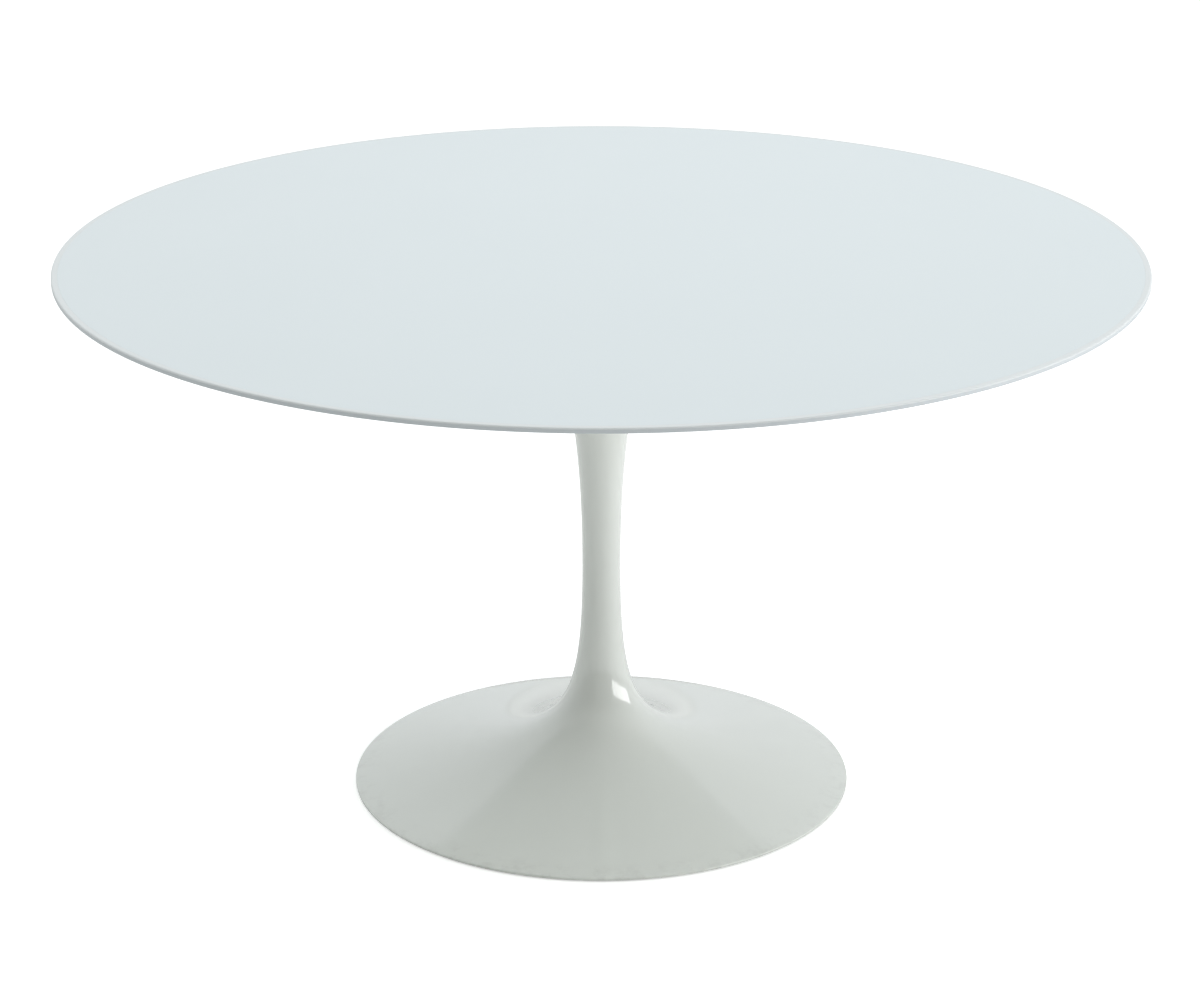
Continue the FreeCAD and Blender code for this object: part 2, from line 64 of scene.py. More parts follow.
Point = tuple[float, float]
Corner = tuple[float, float, float]
Colour = tuple[float, float, float]
Socket = bpy.types.NodeSocket
Node = bpy.types.Node
Mesh = bpy.types.Mesh


def mm(*lengths: float) -> tuple[float, ...]:
    """Lengths given in millimetres, in metres."""
    return tuple(length * MM for length in lengths)


# ---- node trees ---------------------------------------------------------------------------------
class Kind(Enum):
    """Socket types of a node group's interface."""

    FLOAT = "NodeSocketFloat"
    INT = "NodeSocketInt"
    VECTOR = "NodeSocketVector"
    COLOUR = "NodeSocketColor"
    MATERIAL = "NodeSocketMaterial"
    GEOMETRY = "NodeSocketGeometry"


FLOAT, INT, VECTOR, COLOUR, MATERIAL, GEOMETRY = Kind


class Graph:
    """A node tree under construction, with one short call for each node."""

    def __init__(self, tree: bpy.types.NodeTree) -> None:
        """Wraps a tree. Its group nodes, if any, are set by group."""
        self.tree = tree
        self.source: Node | None = None
        self.sink: Node | None = None

    @classmethod
    def group(cls, name: str, family: str, takes: dict[str, Kind], gives: dict[str, Kind]) -> "Graph":
        """Starts a node group with named inputs and outputs.

        Args:
            name: The group's name.
            family: "Shader" or "Geometry".
            takes: Input names and kinds, in order.
            gives: Output names and kinds, in order.

        Returns:
            The group's graph, with its input and output nodes in place.
        """
        graph = cls(bpy.data.node_groups.new(name, family + "NodeTree"))
        for way, sockets in (("INPUT", takes), ("OUTPUT", gives)):
            for label, kind in sockets.items():
                graph.tree.interface.new_socket(label, in_out=way, socket_type=kind.value)
        graph.source, graph.sink = graph.add("NodeGroupInput"), graph.add("NodeGroupOutput")
        return graph

    def __getitem__(self, name: str) -> Socket:
        """One of the group's inputs, by name."""
        return self.source.outputs[name]

    def give(self, **outputs: Any) -> "Graph":
        """Feeds the group's outputs, by name, and returns the graph."""
        for name, value in outputs.items():
            self.feed(self.sink.inputs[name], value)
        return self

    def add(self, kind: str, inputs: dict[Any, Any] | None = None, **settings: Any) -> Node:
        """Adds a node, sets it and feeds its inputs.

        Args:
            kind: The node's type name.
            inputs: Socket names or numbers, each with a value or the socket that feeds it.
            **settings: Attributes of the node.

        Returns:
            The new node.
        """
        node = self.tree.nodes.new(kind)
        for name, value in settings.items():
            setattr(node, name, value)
        for key, value in (inputs or {}).items():
            self.feed(node.inputs[key], value)
        return node

    def value(self, kind: str, inputs: dict[Any, Any] | None = None, **settings: Any) -> Socket:
        """Adds a node, and returns its first output. See add."""
        return self.add(kind, inputs, **settings).outputs[0]

    def feed(self, socket: Socket, value: Any) -> None:
        """Links a socket to another, or gives it a value of its own."""
        if isinstance(value, Socket):
            self.tree.links.new(value, socket)
        elif isinstance(value, (tuple, list)) and socket.type == "RGBA":
            socket.default_value = (*value, 1.0)[:4]
        else:
            socket.default_value = value

    def nest(self, inner: "Graph", inputs: dict[str, Any]) -> Node:
        """Adds another graph's group as a node, and feeds its named inputs."""
        family = "GeometryNodeGroup" if self.tree.type == "GEOMETRY" else "ShaderNodeGroup"
        return self.add(family, inputs, node_tree=inner.tree)

    def join(self, *parts: Socket) -> Socket:
        """Several geometries as one."""
        node = self.add("GeometryNodeJoinGeometry")
        for part in parts:
            self.tree.links.new(part, node.inputs[0])
        return node.outputs[0]

    def math(self, operation: str, first: Any, second: Any = 0.0, third: Any = 0.0) -> Socket:
        """The result of one Math node."""
        return self.value("ShaderNodeMath", {0: first, 1: second, 2: third}, operation=operation)

    def total(self, first: Any, *others: Any) -> Socket:
        """The sum of numbers."""
        for other in others:
            first = self.math("ADD", first, other)
        return first

    def product(self, first: Any, *others: Any) -> Socket:
        """The product of numbers."""
        for other in others:
            first = self.math("MULTIPLY", first, other)
        return first

    def less(self, first: Any, second: Any) -> Socket:
        """The difference of two numbers."""
        return self.math("SUBTRACT", first, second)

    def scale(self, vector: Any, factor: Any) -> Socket:
        """A vector times a number."""
        return self.value("ShaderNodeVectorMath", {0: vector, "Scale": factor}, operation="SCALE")

    def plus(self, first: Any, second: Any) -> Socket:
        """The sum of two vectors."""
        return self.value("ShaderNodeVectorMath", {0: first, 1: second}, operation="ADD")

    def split(self, vector: Any) -> Any:
        """A vector's coordinates, by name."""
        return self.add("ShaderNodeSeparateXYZ", {0: vector}).outputs

    def combine(self, x: Any, y: Any, z: Any = 0.0) -> Socket:
        """A vector from its coordinates."""
        return self.value("ShaderNodeCombineXYZ", {"X": x, "Y": y, "Z": z})

    def around(self, radius: Any, angle: Any, height: Any = 0.0) -> Socket:
        """The point at a radius, an angle about the axis and a height."""
        x, y = (self.product(radius, self.math(way, angle)) for way in ("COSINE", "SINE"))
        return self.combine(x, y, height)

    def blend(self, factor: Any, first: Any, second: Any) -> Socket:
        """One colour turning into another."""
        return self.add("ShaderNodeMix", {0: factor, 6: first, 7: second}, data_type="RGBA").outputs[2]

    def remap(self, value: Any, low: Any, high: Any, to_low: Any = 0.0, to_high: Any = 1.0) -> Socket:
        """A value moved from one range to another, and clamped to it."""
        ends = {0: value, 1: low, 2: high, 3: to_low, 4: to_high}
        return self.value("ShaderNodeMapRange", ends, clamp=True)

    def noise(self, place: Any, cell: Any, detail: float, **more: float) -> Socket:
        """A random pattern from 0 to 1, with cells of a given size."""
        cells = self.math("DIVIDE", 1.0, cell)
        return self.value("ShaderNodeTexNoise", {"Vector": place, "Scale": cells, "Detail": detail, **more})


# ---- meshes -------------------------------------------------------------------------------------
@dataclass(frozen=True)
class Span:
    """How far a round thing reaches: its outer radius, its bottom and its top."""

    radius: float
    bottom: float
    top: float

    @classmethod
    def of(cls, node: str) -> "Span":
        """The span of a frame node."""
        low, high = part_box(node)
        return cls(high.x, low.z, high.z)

    def narrowed(self, radius: float) -> "Span":
        """The same heights at another radius."""
        return Span(radius, self.bottom, self.top)


@dataclass(frozen=True)
class Ring:
    """One ring of a lofted piece: round, or a hexagon whose corners may be turned off."""

    height: float
    radius: float
    flats: float = math.inf

    def points(self, sides: int) -> np.ndarray:
        """Points round the ring, each at the hexagon or at the circle, whichever is nearer the axis."""
        angles = np.arange(sides) * TURN / sides
        sixth = TURN / 6
        to_flat = np.mod(angles, sixth) - sixth / 2
        reach = np.minimum(self.flats / 2 / np.cos(to_flat), self.radius)
        return np.stack([reach * np.cos(angles), reach * np.sin(angles), np.full(sides, self.height)], 1)


def rounded(corners: Sequence[Corner], closed: bool = True, steps: int = 4) -> list[Point]:
    """Turns corners with radii into an outline.

    Args:
        corners: (radius from the axis, height, rounding) of each corner, counter-clockwise.
        closed: Whether the last corner joins the first. An open outline starts and ends on the axis.
        steps: Segments in each rounded corner.

    Returns:
        The outline's (radius, height) points.
    """
    count = len(corners)
    places = [Vector(corner[:2]) for corner in corners]
    halves, reaches = [], []
    for i, here in enumerate(places):
        before, after = places[i - 1] - here, places[(i + 1) % count] - here
        sharp = corners[i][2] <= 0 or (not closed and i in (0, count - 1))
        halves.append(0.0 if sharp else before.angle(after) / 2)
        reaches.append(0.0 if sharp else corners[i][2] / math.tan(halves[i]))
    outline: list[Point] = []
    for i, here in enumerate(places):
        if reaches[i] == 0:
            outline.append(tuple(here))
            continue
        sides = []
        for near in (i - 1, (i + 1) % count):
            line = places[near] - here
            spare = line.length - reaches[i] - reaches[near]
            hold = reaches[i] + min(0.5 * reaches[i], 0.25 * spare)
            sides.append((line.normalized(), hold))
        (before, hold_before), (after, hold_after) = sides
        centre = here + (before + after).normalized() * (corners[i][2] / math.sin(halves[i]))
        first, last = here + before * reaches[i] - centre, here + after * reaches[i] - centre
        sweep = -first.angle_signed(last)
        outline.append(tuple(here + before * hold_before))
        for step in range(steps + 1):
            outline.append(tuple(centre + Matrix.Rotation(sweep * step / steps, 2) @ first))
        outline.append(tuple(here + after * hold_after))
    return outline


def band(inner: float, span: Span, rounds: Sequence[float], steps: int = 4) -> list[Point]:
    """The outline of a flat ring, or of a disc.

    Args:
        inner: The inner radius, or zero for a disc.
        span: The outer radius and the two faces.
        rounds: The roundings, counter-clockwise from the inner bottom corner.
        steps: Segments in each rounded corner.

    Returns:
        The outline. See rounded.
    """
    radii, heights = (inner, span.radius, span.radius, inner), (span.bottom, span.bottom, span.top, span.top)
    return rounded(list(zip(radii, heights, rounds)), inner > 0, steps)


def turned(outline: Sequence[Point], sides: int, closed: bool = True) -> Mesh:
    """A solid of revolution. See loft."""
    return loft([Ring(height, radius) for radius, height in outline], sides, closed)


def loft(rings: Sequence[Ring], sides: int, closed: bool = True) -> Mesh:
    """Joins rings into a closed surface that faces outwards.

    Args:
        rings: The rings, in the counter-clockwise order of the half section.
        sides: Points round each ring.
        closed: Whether the last ring joins the first. Otherwise both ends close on the axis.

    Returns:
        The mesh.
    """
    body = rings if closed else rings[1:-1]
    points = np.concatenate([ring.points(sides) for ring in body])
    count = len(body)
    faces: list[tuple[int, ...]] = []
    for row in range(count if closed else count - 1):
        low, high = row * sides, (row + 1) % count * sides
        for k in range(sides):
            n = (k + 1) % sides
            faces.append((low + k, low + n, high + n, high + k))
    if not closed:
        poles = np.array([(0, 0, rings[0].height), (0, 0, rings[-1].height)])
        points = np.concatenate([points, poles])
        bottom, top, last = count * sides, count * sides + 1, (count - 1) * sides
        for k in range(sides):
            n = (k + 1) % sides
            faces += [(bottom, n, k), (last + k, last + n, top)]
    mesh = bpy.data.meshes.new("lofted")
    mesh.from_pydata(points.tolist(), [], faces)
    return mesh


def hexagon_chamfer(face: float, rise: float, inner: float, flats: float, steps: int) -> list[Ring]:
    """The rings between a hexagon's round face and its full corners.

    Args:
        face: The face's height.
        rise: How far the chamfer runs from the face, negative where it runs down.
        inner: The face's radius.
        flats: The distance across the flats.
        steps: The number of rings.

    Returns:
        The rings, from the face on.
    """
    widening = flats / math.sqrt(3) - inner
    shares = [(i + 1) / steps for i in range(steps)]
    return [Ring(face + rise * share, inner + widening * share, flats) for share in shares]


def joined(meshes: Sequence[Mesh]) -> Mesh:
    """One mesh holding several, in order."""
    points: list[Vector] = []
    faces: list[tuple[int, ...]] = []
    for mesh in meshes:
        start = len(points)
        points += [vertex.co.copy() for vertex in mesh.vertices]
        faces += [tuple(start + i for i in face.vertices) for face in mesh.polygons]
    whole = bpy.data.meshes.new("joined")
    whole.from_pydata(points, [], faces)
    return whole


def placed(name: str, data: bpy.types.ID) -> bpy.types.Object:
    """A new object in the scene."""
    thing = bpy.data.objects.new(name, data)
    bpy.context.scene.collection.objects.link(thing)
    return thing


def piece(name: str, mesh: Mesh, finish: "Finish | None", slot: str, *nodes: str) -> bpy.types.Object:
    """Shows a finished mesh in place of frame nodes.

    Args:
        name: The piece's name.
        mesh: Its mesh, in place.
        finish: Its finish, or None where the mesh already has its materials.
        slot: The record's material slot that it stands for; not used.
        *nodes: The frame nodes that it replaces.

    Returns:
        The piece, riding on the table's one body.
    """
    mesh.name = name
    mesh.validate()
    mesh.shade_smooth()
    mesh.set_sharp_from_angle(angle=SMOOTH_ANGLE)
    if finish:
        mesh.materials.clear()
        mesh.materials.append(finish.material())
    shown = placed(name, mesh)
    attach(shown, BODY)
    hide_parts(*nodes)
    LOG.info("%s: %d faces, stands for %s", name, len(mesh.polygons), ", ".join(nodes))
    return shown


def baked(host: bpy.types.Object) -> Mesh:
    """The host's mesh as its modifier leaves it. The host itself is removed."""
    depsgraph = bpy.context.evaluated_depsgraph_get()
    result = bpy.data.meshes.new_from_object(host.evaluated_get(depsgraph), depsgraph=depsgraph)
    host.modifiers.clear()
    bpy.data.objects.remove(host)
    return result


def grown(graph: Graph, values: dict[str, Any], seed: Mesh | None = None) -> Mesh:
    """Runs a Geometry Nodes tree and keeps its result as a plain mesh.

    Args:
        graph: The tree, whose inputs are set by name.
        values: Input names and values.
        seed: The mesh that the tree starts from, where it takes one.

    Returns:
        The realised mesh.
    """
    host = placed("host", seed or bpy.data.meshes.new("host"))
    modifier = host.modifiers.new("nodes", "NODES")
    modifier.node_group = graph.tree
    for item in graph.tree.interface.items_tree:
        if item.in_out == "INPUT" and item.name in values:
            modifier[item.identifier] = values[item.name]
    host.data.update()
    return baked(host)


# ---- Geometry Nodes trees -----------------------------------------------------------------------
def conic_point(graph: Graph, share: Any, ends: Sequence[Any], tightness: Any) -> Socket:
    """A point along a conic arc.

    Args:
        graph: The tree to add to.
        share: How far along the arc, from 0 to 1.
        ends: The start, the corner that both end tangents meet at, and the end.
        tightness: How closely the arc hugs the corner; 1 is a parabola.

    Returns:
        The point, with its radius in X and its height in Z.
    """
    rest = graph.less(1.0, share)
    by_corner = graph.product(rest, share, tightness, 2.0)
    weights = (graph.product(rest, rest), by_corner, graph.product(share, share))
    first, middle, last = (graph.scale(end, weight) for end, weight in zip(ends, weights))
    point = graph.plus(graph.plus(first, middle), last)
    return graph.scale(point, graph.math("DIVIDE", 1.0, graph.total(*weights)))


def unit_sheet(graph: Graph, sides: Any, rows: Any) -> tuple[Socket, Socket, Socket]:
    """Adds a flat grid to bend, and returns it with its shares across and along, both from 0 to 1."""
    counts = {"Vertices X": graph.total(sides, 1.0), "Vertices Y": graph.total(rows, 1.0)}
    sheet = graph.value("GeometryNodeMeshGrid", {"Size X": 1.0, "Size Y": 1.0, **counts})
    place = graph.split(graph.value("GeometryNodeInputPosition"))
    return sheet, graph.total(place["X"], 0.5), graph.total(place["Y"], 0.5)


def moved(graph: Graph, geometry: Socket, where: Socket) -> Socket:
    """A geometry with its points put elsewhere."""
    return graph.value("GeometryNodeSetPosition", {"Geometry": geometry, "Position": where})


def welded(graph: Graph, geometry: Socket) -> Socket:
    """A geometry whose touching points are one."""
    return graph.value("GeometryNodeMergeByDistance", {"Geometry": geometry, "Distance": WELD})


def dressed(graph: Graph, geometry: Socket, finish: Any, **more: Any) -> Socket:
    """The realised geometry in its finish, which is how every tree ends."""
    real = graph.value("GeometryNodeRealizeInstances", {0: geometry})
    return graph.value("GeometryNodeSetMaterial", {"Geometry": real, "Material": finish, **more})


@lru_cache(maxsize=None)
def conic_sleeve() -> Graph:
    """The tree of one conic arc turned about the axis, open at both ends."""
    takes = {"Start": VECTOR, "Corner": VECTOR, "End": VECTOR, "Tightness": FLOAT, "Steps": INT, "Sides": INT}
    graph = Graph.group("conic_sleeve", "Geometry", {**takes, "Finish": MATERIAL}, {"Mesh": GEOMETRY})
    sheet, across, along = unit_sheet(graph, graph["Sides"], graph["Steps"])
    ends = [graph["Start"], graph["Corner"], graph["End"]]
    point = graph.split(conic_point(graph, along, ends, graph["Tightness"]))
    where = graph.around(point["X"], graph.product(across, TURN), point["Z"])
    return graph.give(Mesh=dressed(graph, moved(graph, sheet, where), graph["Finish"]))


@lru_cache(maxsize=None)
def ring_of() -> Graph:
    """The tree that sets copies of a piece round the axis and realises them."""
    numbers = {"Count": INT, "Circle Radius": FLOAT, "First Angle": FLOAT}
    takes = {"Piece": GEOMETRY, **numbers, "Finish": MATERIAL}
    graph = Graph.group("ring_of", "Geometry", takes, {"Copies": GEOMETRY})
    step = graph.math("DIVIDE", TURN, graph["Count"])
    angle = graph.math("MULTIPLY_ADD", graph.value("GeometryNodeInputIndex"), step, graph["First Angle"])
    where = graph.around(graph["Circle Radius"], angle)
    points = graph.value("GeometryNodePoints", {"Count": graph["Count"], "Position": where})
    facing = graph.value("FunctionNodeEulerToRotation", {0: graph.combine(0.0, 0.0, angle)})
    inputs = {"Points": points, "Instance": graph["Piece"], "Rotation": facing}
    copies = graph.value("GeometryNodeInstanceOnPoints", inputs)
    return graph.give(Copies=dressed(graph, copies, graph["Finish"]))


@lru_cache(maxsize=None)
def threaded_bar() -> Graph:
    """The tree of a bar with a helical thread, tapered and closed at both ends."""
    sizes = dict.fromkeys(("Radius", "Depth", "Pitch", "Bottom", "Top", "Taper"), FLOAT)
    takes = {**sizes, "Sides": INT, "Rows": INT, "Finish": MATERIAL}
    graph = Graph.group("threaded_bar", "Geometry", takes, {"Bar": GEOMETRY})
    bottom, top, taper = graph["Bottom"], graph["Top"], graph["Taper"]
    rows = graph.total(graph["Rows"], 2.0)
    sheet, around, row = unit_sheet(graph, graph["Sides"], rows)
    gap = graph.math("DIVIDE", 1.0, rows)
    height = graph.remap(row, gap, graph.less(1.0, gap), bottom, top)
    phase = graph.math("FRACT", graph.less(graph.math("DIVIDE", height, graph["Pitch"]), around))
    ridge = graph.math("PINGPONG", graph.product(phase, 2.0), 1.0)
    crest = graph.remap(ridge, 0.12, 0.88, 0.0, graph["Depth"])
    low = graph.remap(height, bottom, graph.total(bottom, taper), taper, 0.0)
    high = graph.remap(height, graph.less(top, taper), top, 0.0, taper)
    cut = graph.math("MAXIMUM", crest, graph.math("MAXIMUM", low, high))
    off_middle = graph.math("ABSOLUTE", graph.less(row, 0.5))
    inside = graph.math("LESS_THAN", off_middle, graph.less(0.5, graph.product(gap, 0.5)))
    radius = graph.product(graph.less(graph["Radius"], cut), inside)
    where = graph.around(radius, graph.product(around, TURN), height)
    return graph.give(Bar=dressed(graph, welded(graph, moved(graph, sheet, where)), graph["Finish"]))


def ring(mesh: Mesh, finish: "Finish", count: int, circle: float, first: float = 0.0) -> Mesh:
    """Copies of a fastener round the axis.

    Args:
        mesh: The fastener, on the axis.
        finish: Its finish.
        count: The number of copies.
        circle: The radius of their circle.
        first: The first one's angle.

    Returns:
        The copies as one mesh.
    """
    values = {"Count": count, "Circle Radius": circle, "First Angle": first, "Finish": finish.material()}
    return grown(ring_of(), values, mesh)


def thread(bar: Span, pitch: float, depth: float, taper: float, sides: int, turns: float) -> Mesh:
    """A threaded stretch of zinc-plated bar.

    Args:
        bar: Its radius over the thread, its bottom and its top.
        pitch: The thread's rise in one turn.
        depth: The thread's depth.
        taper: How much the ends are turned off.
        sides: Faces round the bar.
        turns: Turns of thread that the rows are shared out over.

    Returns:
        The bar.
    """
    return grown(threaded_bar(), {
        "Radius": bar.radius,
        "Depth": depth,
        "Pitch": pitch,
        "Bottom": bar.bottom,
        "Top": bar.top,
        "Taper": taper,
        "Sides": sides,
        "Rows": round(turns * THREAD_ROWS),
        "Finish": ZINC_PLATE.material(),
    })


@dataclass(frozen=True)
class Arc:
    """One stretch of a turned outline: straight, or a conic arc with its tangents meeting at a corner."""

    name: str
    end: Point
    corner: Point | None = None
    tightness: float = 1.0
    steps: int = 1
    outside: bool = True


@dataclass
class Trumpet:
    """Outline of the trumpet casting's wall, the same rule outside and in: two conic flares from the neck."""

    foot: Point
    neck: Point
    flange: Point
    reach: float
    foot_slope: float
    foot_tightness: float
    flare_tightness: float

    def foot_corner(self) -> Point:
        """Where the neck's upright tangent meets the foot's sloping one."""
        rise = (self.foot[0] - self.neck[0]) * math.tan(self.foot_slope)
        return (self.neck[0], self.foot[1] + rise)

    def flare_corner(self) -> Point:
        """Where the upper flare's two tangents meet."""
        return (self.neck[0], self.neck[1] + self.reach)

    def share_at(self, radius: float) -> float:
        """How far along the lower flare, from the neck, a radius is met."""
        low, high = 0.0, 1.0
        neck, foot, weight = self.neck[0], self.foot[0], self.foot_tightness
        for _ in range(40):
            share = (low + high) / 2
            rest = 1 - share
            near, side, far = rest * rest, 2 * weight * rest * share, share * share
            reached = (neck * (near + side) + foot * far) / (near + side + far)
            low, high = (share, high) if reached < radius else (low, share)
        return (low + high) / 2


def section_mesh(
    graph: Graph, start: Point, arcs: Sequence[Arc], sides: int, outer: Socket, inner: Socket
) -> Socket:
    """Adds sleeves for a whole closed section to a tree.

    Args:
        graph: The tree to add to; every arc's points become named inputs of it.
        start: Where the first arc begins, which is where the last one ends.
        arcs: The arcs, counter-clockwise.
        sides: Faces round the axis.
        outer: The finish of outside arcs.
        inner: The finish of the other arcs.

    Returns:
        The socket that holds the welded section.
    """
    sleeves = []
    previous, here = vector_input(graph, f"{arcs[-1].name} end", arcs[-1].end), start
    for arc in arcs:
        end = vector_input(graph, f"{arc.name} end", arc.end)
        middle = arc.corner or ((here[0] + arc.end[0]) / 2, (here[1] + arc.end[1]) / 2)
        sleeve = graph.nest(conic_sleeve(), {
            "Start": previous,
            "Corner": vector_input(graph, f"{arc.name} corner", middle),
            "End": end,
            "Tightness": arc.tightness,
            "Steps": arc.steps,
            "Sides": sides,
            "Finish": outer if arc.outside else inner,
        })
        sleeves.append(sleeve.outputs[0])
        previous, here = end, arc.end
    return welded(graph, graph.join(*sleeves))


def vector_input(graph: Graph, name: str, point: Point) -> Socket:
    """The tree's named input for an outline point, made with that point as its value if it's new."""
    if name not in graph.source.outputs:
        socket = graph.tree.interface.new_socket(name, in_out="INPUT", socket_type=VECTOR.value)
        socket.default_value = (point[0], 0.0, point[1])
    return graph[name]


# ---- shader groups ------------------------------------------------------------------------------
@lru_cache(maxsize=None)
def soft_relief() -> Graph:
    """Group: a smooth random relief, such as the orange peel of a sprayed coat."""
    takes = {"Place": VECTOR, "Cell": FLOAT, "Depth": FLOAT}
    graph = Graph.group("soft_relief", "Shader", takes, {"Height": FLOAT})
    centred = graph.less(graph.noise(graph["Place"], graph["Cell"], 1.0), 0.5)
    return graph.give(Height=graph.product(centred, graph["Depth"]))


@lru_cache(maxsize=None)
def grain_relief() -> Graph:
    """Group: a pitted, sandy relief, as on rough castings, with a mask of its hollows."""
    takes = {"Place": VECTOR, "Cell": FLOAT, "Depth": FLOAT}
    graph = Graph.group("grain_relief", "Shader", takes, {"Height": FLOAT, "Hollows": FLOAT})
    noise = graph.noise(graph["Place"], graph["Cell"], 5.0, Roughness=0.62)
    cells = graph.math("DIVIDE", 0.7, graph["Cell"])
    pits = graph.add("ShaderNodeTexVoronoi", {"Vector": graph["Place"], "Scale": cells})
    bowl = graph.remap(pits.outputs["Distance"], 0.0, 0.6)
    mixed = graph.math("MULTIPLY_ADD", bowl, 0.5, noise)
    hollows = graph.remap(mixed, 0.55, 0.8, 1.0, 0.0)
    return graph.give(Height=graph.product(mixed, graph["Depth"]), Hollows=hollows)


@lru_cache(maxsize=None)
def tone_drift() -> Graph:
    """Group: a colour that drifts a little lighter and darker over the surface."""
    takes = {"Place": VECTOR, "Colour": COLOUR, "Cell": FLOAT, "Amount": FLOAT}
    graph = Graph.group("tone_drift", "Shader", takes, {"Colour": COLOUR})
    noise = graph.noise(graph["Place"], graph["Cell"], 4.0)
    brightness = graph.total(graph.product(graph.less(noise, 0.5), graph["Amount"]), 1.0)
    toned = graph.value("ShaderNodeHueSaturation", {"Value": brightness, "Color": graph["Colour"]})
    return graph.give(Colour=toned)


@lru_cache(maxsize=None)
def wiped_gloss() -> Graph:
    """Group: roughness that varies in long wiped streaks and small dull spots."""
    takes = {"Place": VECTOR, "Cell": FLOAT, "Glossy": FLOAT, "Dull": FLOAT}
    graph = Graph.group("wiped_gloss", "Shader", takes, {"Roughness": FLOAT})
    stretched = graph.value("ShaderNodeMapping", {"Vector": graph["Place"], "Scale": (1.0, 0.35, 0.6)})
    streaks = graph.noise(stretched, graph["Cell"], 6.0, Roughness=0.65, Distortion=0.6)
    share = graph.remap(streaks, 0.32, 0.72)
    return graph.give(Roughness=graph.remap(share, 0.0, 1.0, graph["Glossy"], graph["Dull"]))


@lru_cache(maxsize=None)
def turning_marks() -> Graph:
    """Group: the fine rings that a lathe leaves, about the piece's own vertical axis."""
    takes = {"Place": VECTOR, "Pitch": FLOAT, "Depth": FLOAT}
    graph = Graph.group("turning_marks", "Shader", takes, {"Height": FLOAT})
    x, y, z = graph.split(graph["Place"])
    radius = graph.math("SQRT", graph.total(graph.product(x, x), graph.product(y, y)))
    run = graph.math("DIVIDE", graph.total(radius, z), graph["Pitch"])
    wave = graph.math("SINE", graph.product(run, TURN))
    slow = {"W": graph.product(run, 0.37), "Scale": 1.0}
    uneven = graph.value("ShaderNodeTexNoise", slow, noise_dimensions="1D")
    return graph.give(Height=graph.product(wave, uneven, graph["Depth"]))


@lru_cache(maxsize=None)
def edge_rub() -> Graph:
    """Group: colour and roughness where hands, shoes and cloths have rubbed an edge."""
    takes = {
        "Place": VECTOR, "Mask": FLOAT, "Cell": FLOAT, "Colour": COLOUR, "Rubbed Colour": COLOUR,
        "Roughness": FLOAT, "Rubbed Roughness": FLOAT,
    }
    graph = Graph.group("edge_rub", "Shader", takes, {"Colour": COLOUR, "Roughness": FLOAT})
    noise = graph.noise(graph["Place"], graph["Cell"], 8.0, Roughness=0.7)
    rub = graph.product(graph.remap(noise, 0.48, 0.66), graph["Mask"])
    rough = graph.value("ShaderNodeMix", {0: rub, 2: graph["Roughness"], 3: graph["Rubbed Roughness"]})
    return graph.give(Colour=graph.blend(rub, graph["Colour"], graph["Rubbed Colour"]), Roughness=rough)


# ---- finishes -----------------------------------------------------------------------------------
class Surface(Graph):
    """A material's graph, with its Principled shader and one short call for each shader group."""

    def __init__(self, tree: bpy.types.NodeTree) -> None:
        """Clears a material's tree and starts it with a shader and Object coordinates."""
        super().__init__(tree)
        tree.nodes.clear()
        self.shader = self.add("ShaderNodeBsdfPrincipled")
        output = self.add("ShaderNodeOutputMaterial", {"Surface": self.shader.outputs[0]})
        output.is_active_output = True
        self.place = self.add("ShaderNodeTexCoord").outputs["Object"]

    def call(self, inner: Graph, **inputs: Any) -> Any:
        """The outputs of a shader group. An underscore in an input's name stands for a space."""
        named = {name.replace("_", " "): value for name, value in inputs.items()}
        return self.nest(inner, {"Place": self.place, **named}).outputs

    def tone(self, colour: Colour, cell: float, amount: float) -> Socket:
        """See tone_drift."""
        return self.call(tone_drift(), Colour=colour, Cell=cell, Amount=amount)[0]

    def gloss(self, cell: float, glossy: float, dull: float) -> Socket:
        """See wiped_gloss."""
        return self.call(wiped_gloss(), Cell=cell, Glossy=glossy, Dull=dull)[0]

    def relief(self, cell: float, depth: float) -> Socket:
        """See soft_relief."""
        return self.call(soft_relief(), Cell=cell, Depth=depth)[0]

    def height(self) -> Socket:
        """The surface point's height above the floor."""
        return self.split(self.place)["Z"]

    def paint(self, colour: Socket, roughness: Socket, *reliefs: Socket, **plain: float) -> None:
        """Feeds the shader.

        Args:
            colour: The base colour.
            roughness: The roughness.
            *reliefs: Heights in metres that add up to the bump.
            **plain: Even values of its other inputs. An underscore stands for a space.
        """
        relief = {"Height": self.total(*reliefs), "Distance": 1.0, "Strength": 1.0}
        bump = self.value("ShaderNodeBump", relief)
        fed = {"Base Color": colour, "Roughness": roughness, "Normal": bump}
        fed.update({name.replace("_", " "): value for name, value in plain.items()})
        for name, value in fed.items():
            self.feed(self.shader.inputs[name], value)


@dataclass(frozen=True)
class Finish:
    """A surface finish that makes its own material, once."""

    name: str
    colour: Colour

    @lru_cache(maxsize=None)
    def material(self) -> bpy.types.Material:
        """The finish's material, made the first time that it is asked for."""
        made = bpy.data.materials.new(self.name + "_finish")
        made.use_nodes = True
        self.dress(Surface(made.node_tree))
        LOG.info("finish %s", self.name)
        return made

    def dress(self, surface: Surface) -> None:
        """Sets a surface up. Each kind of finish has its own way."""
        raise NotImplementedError


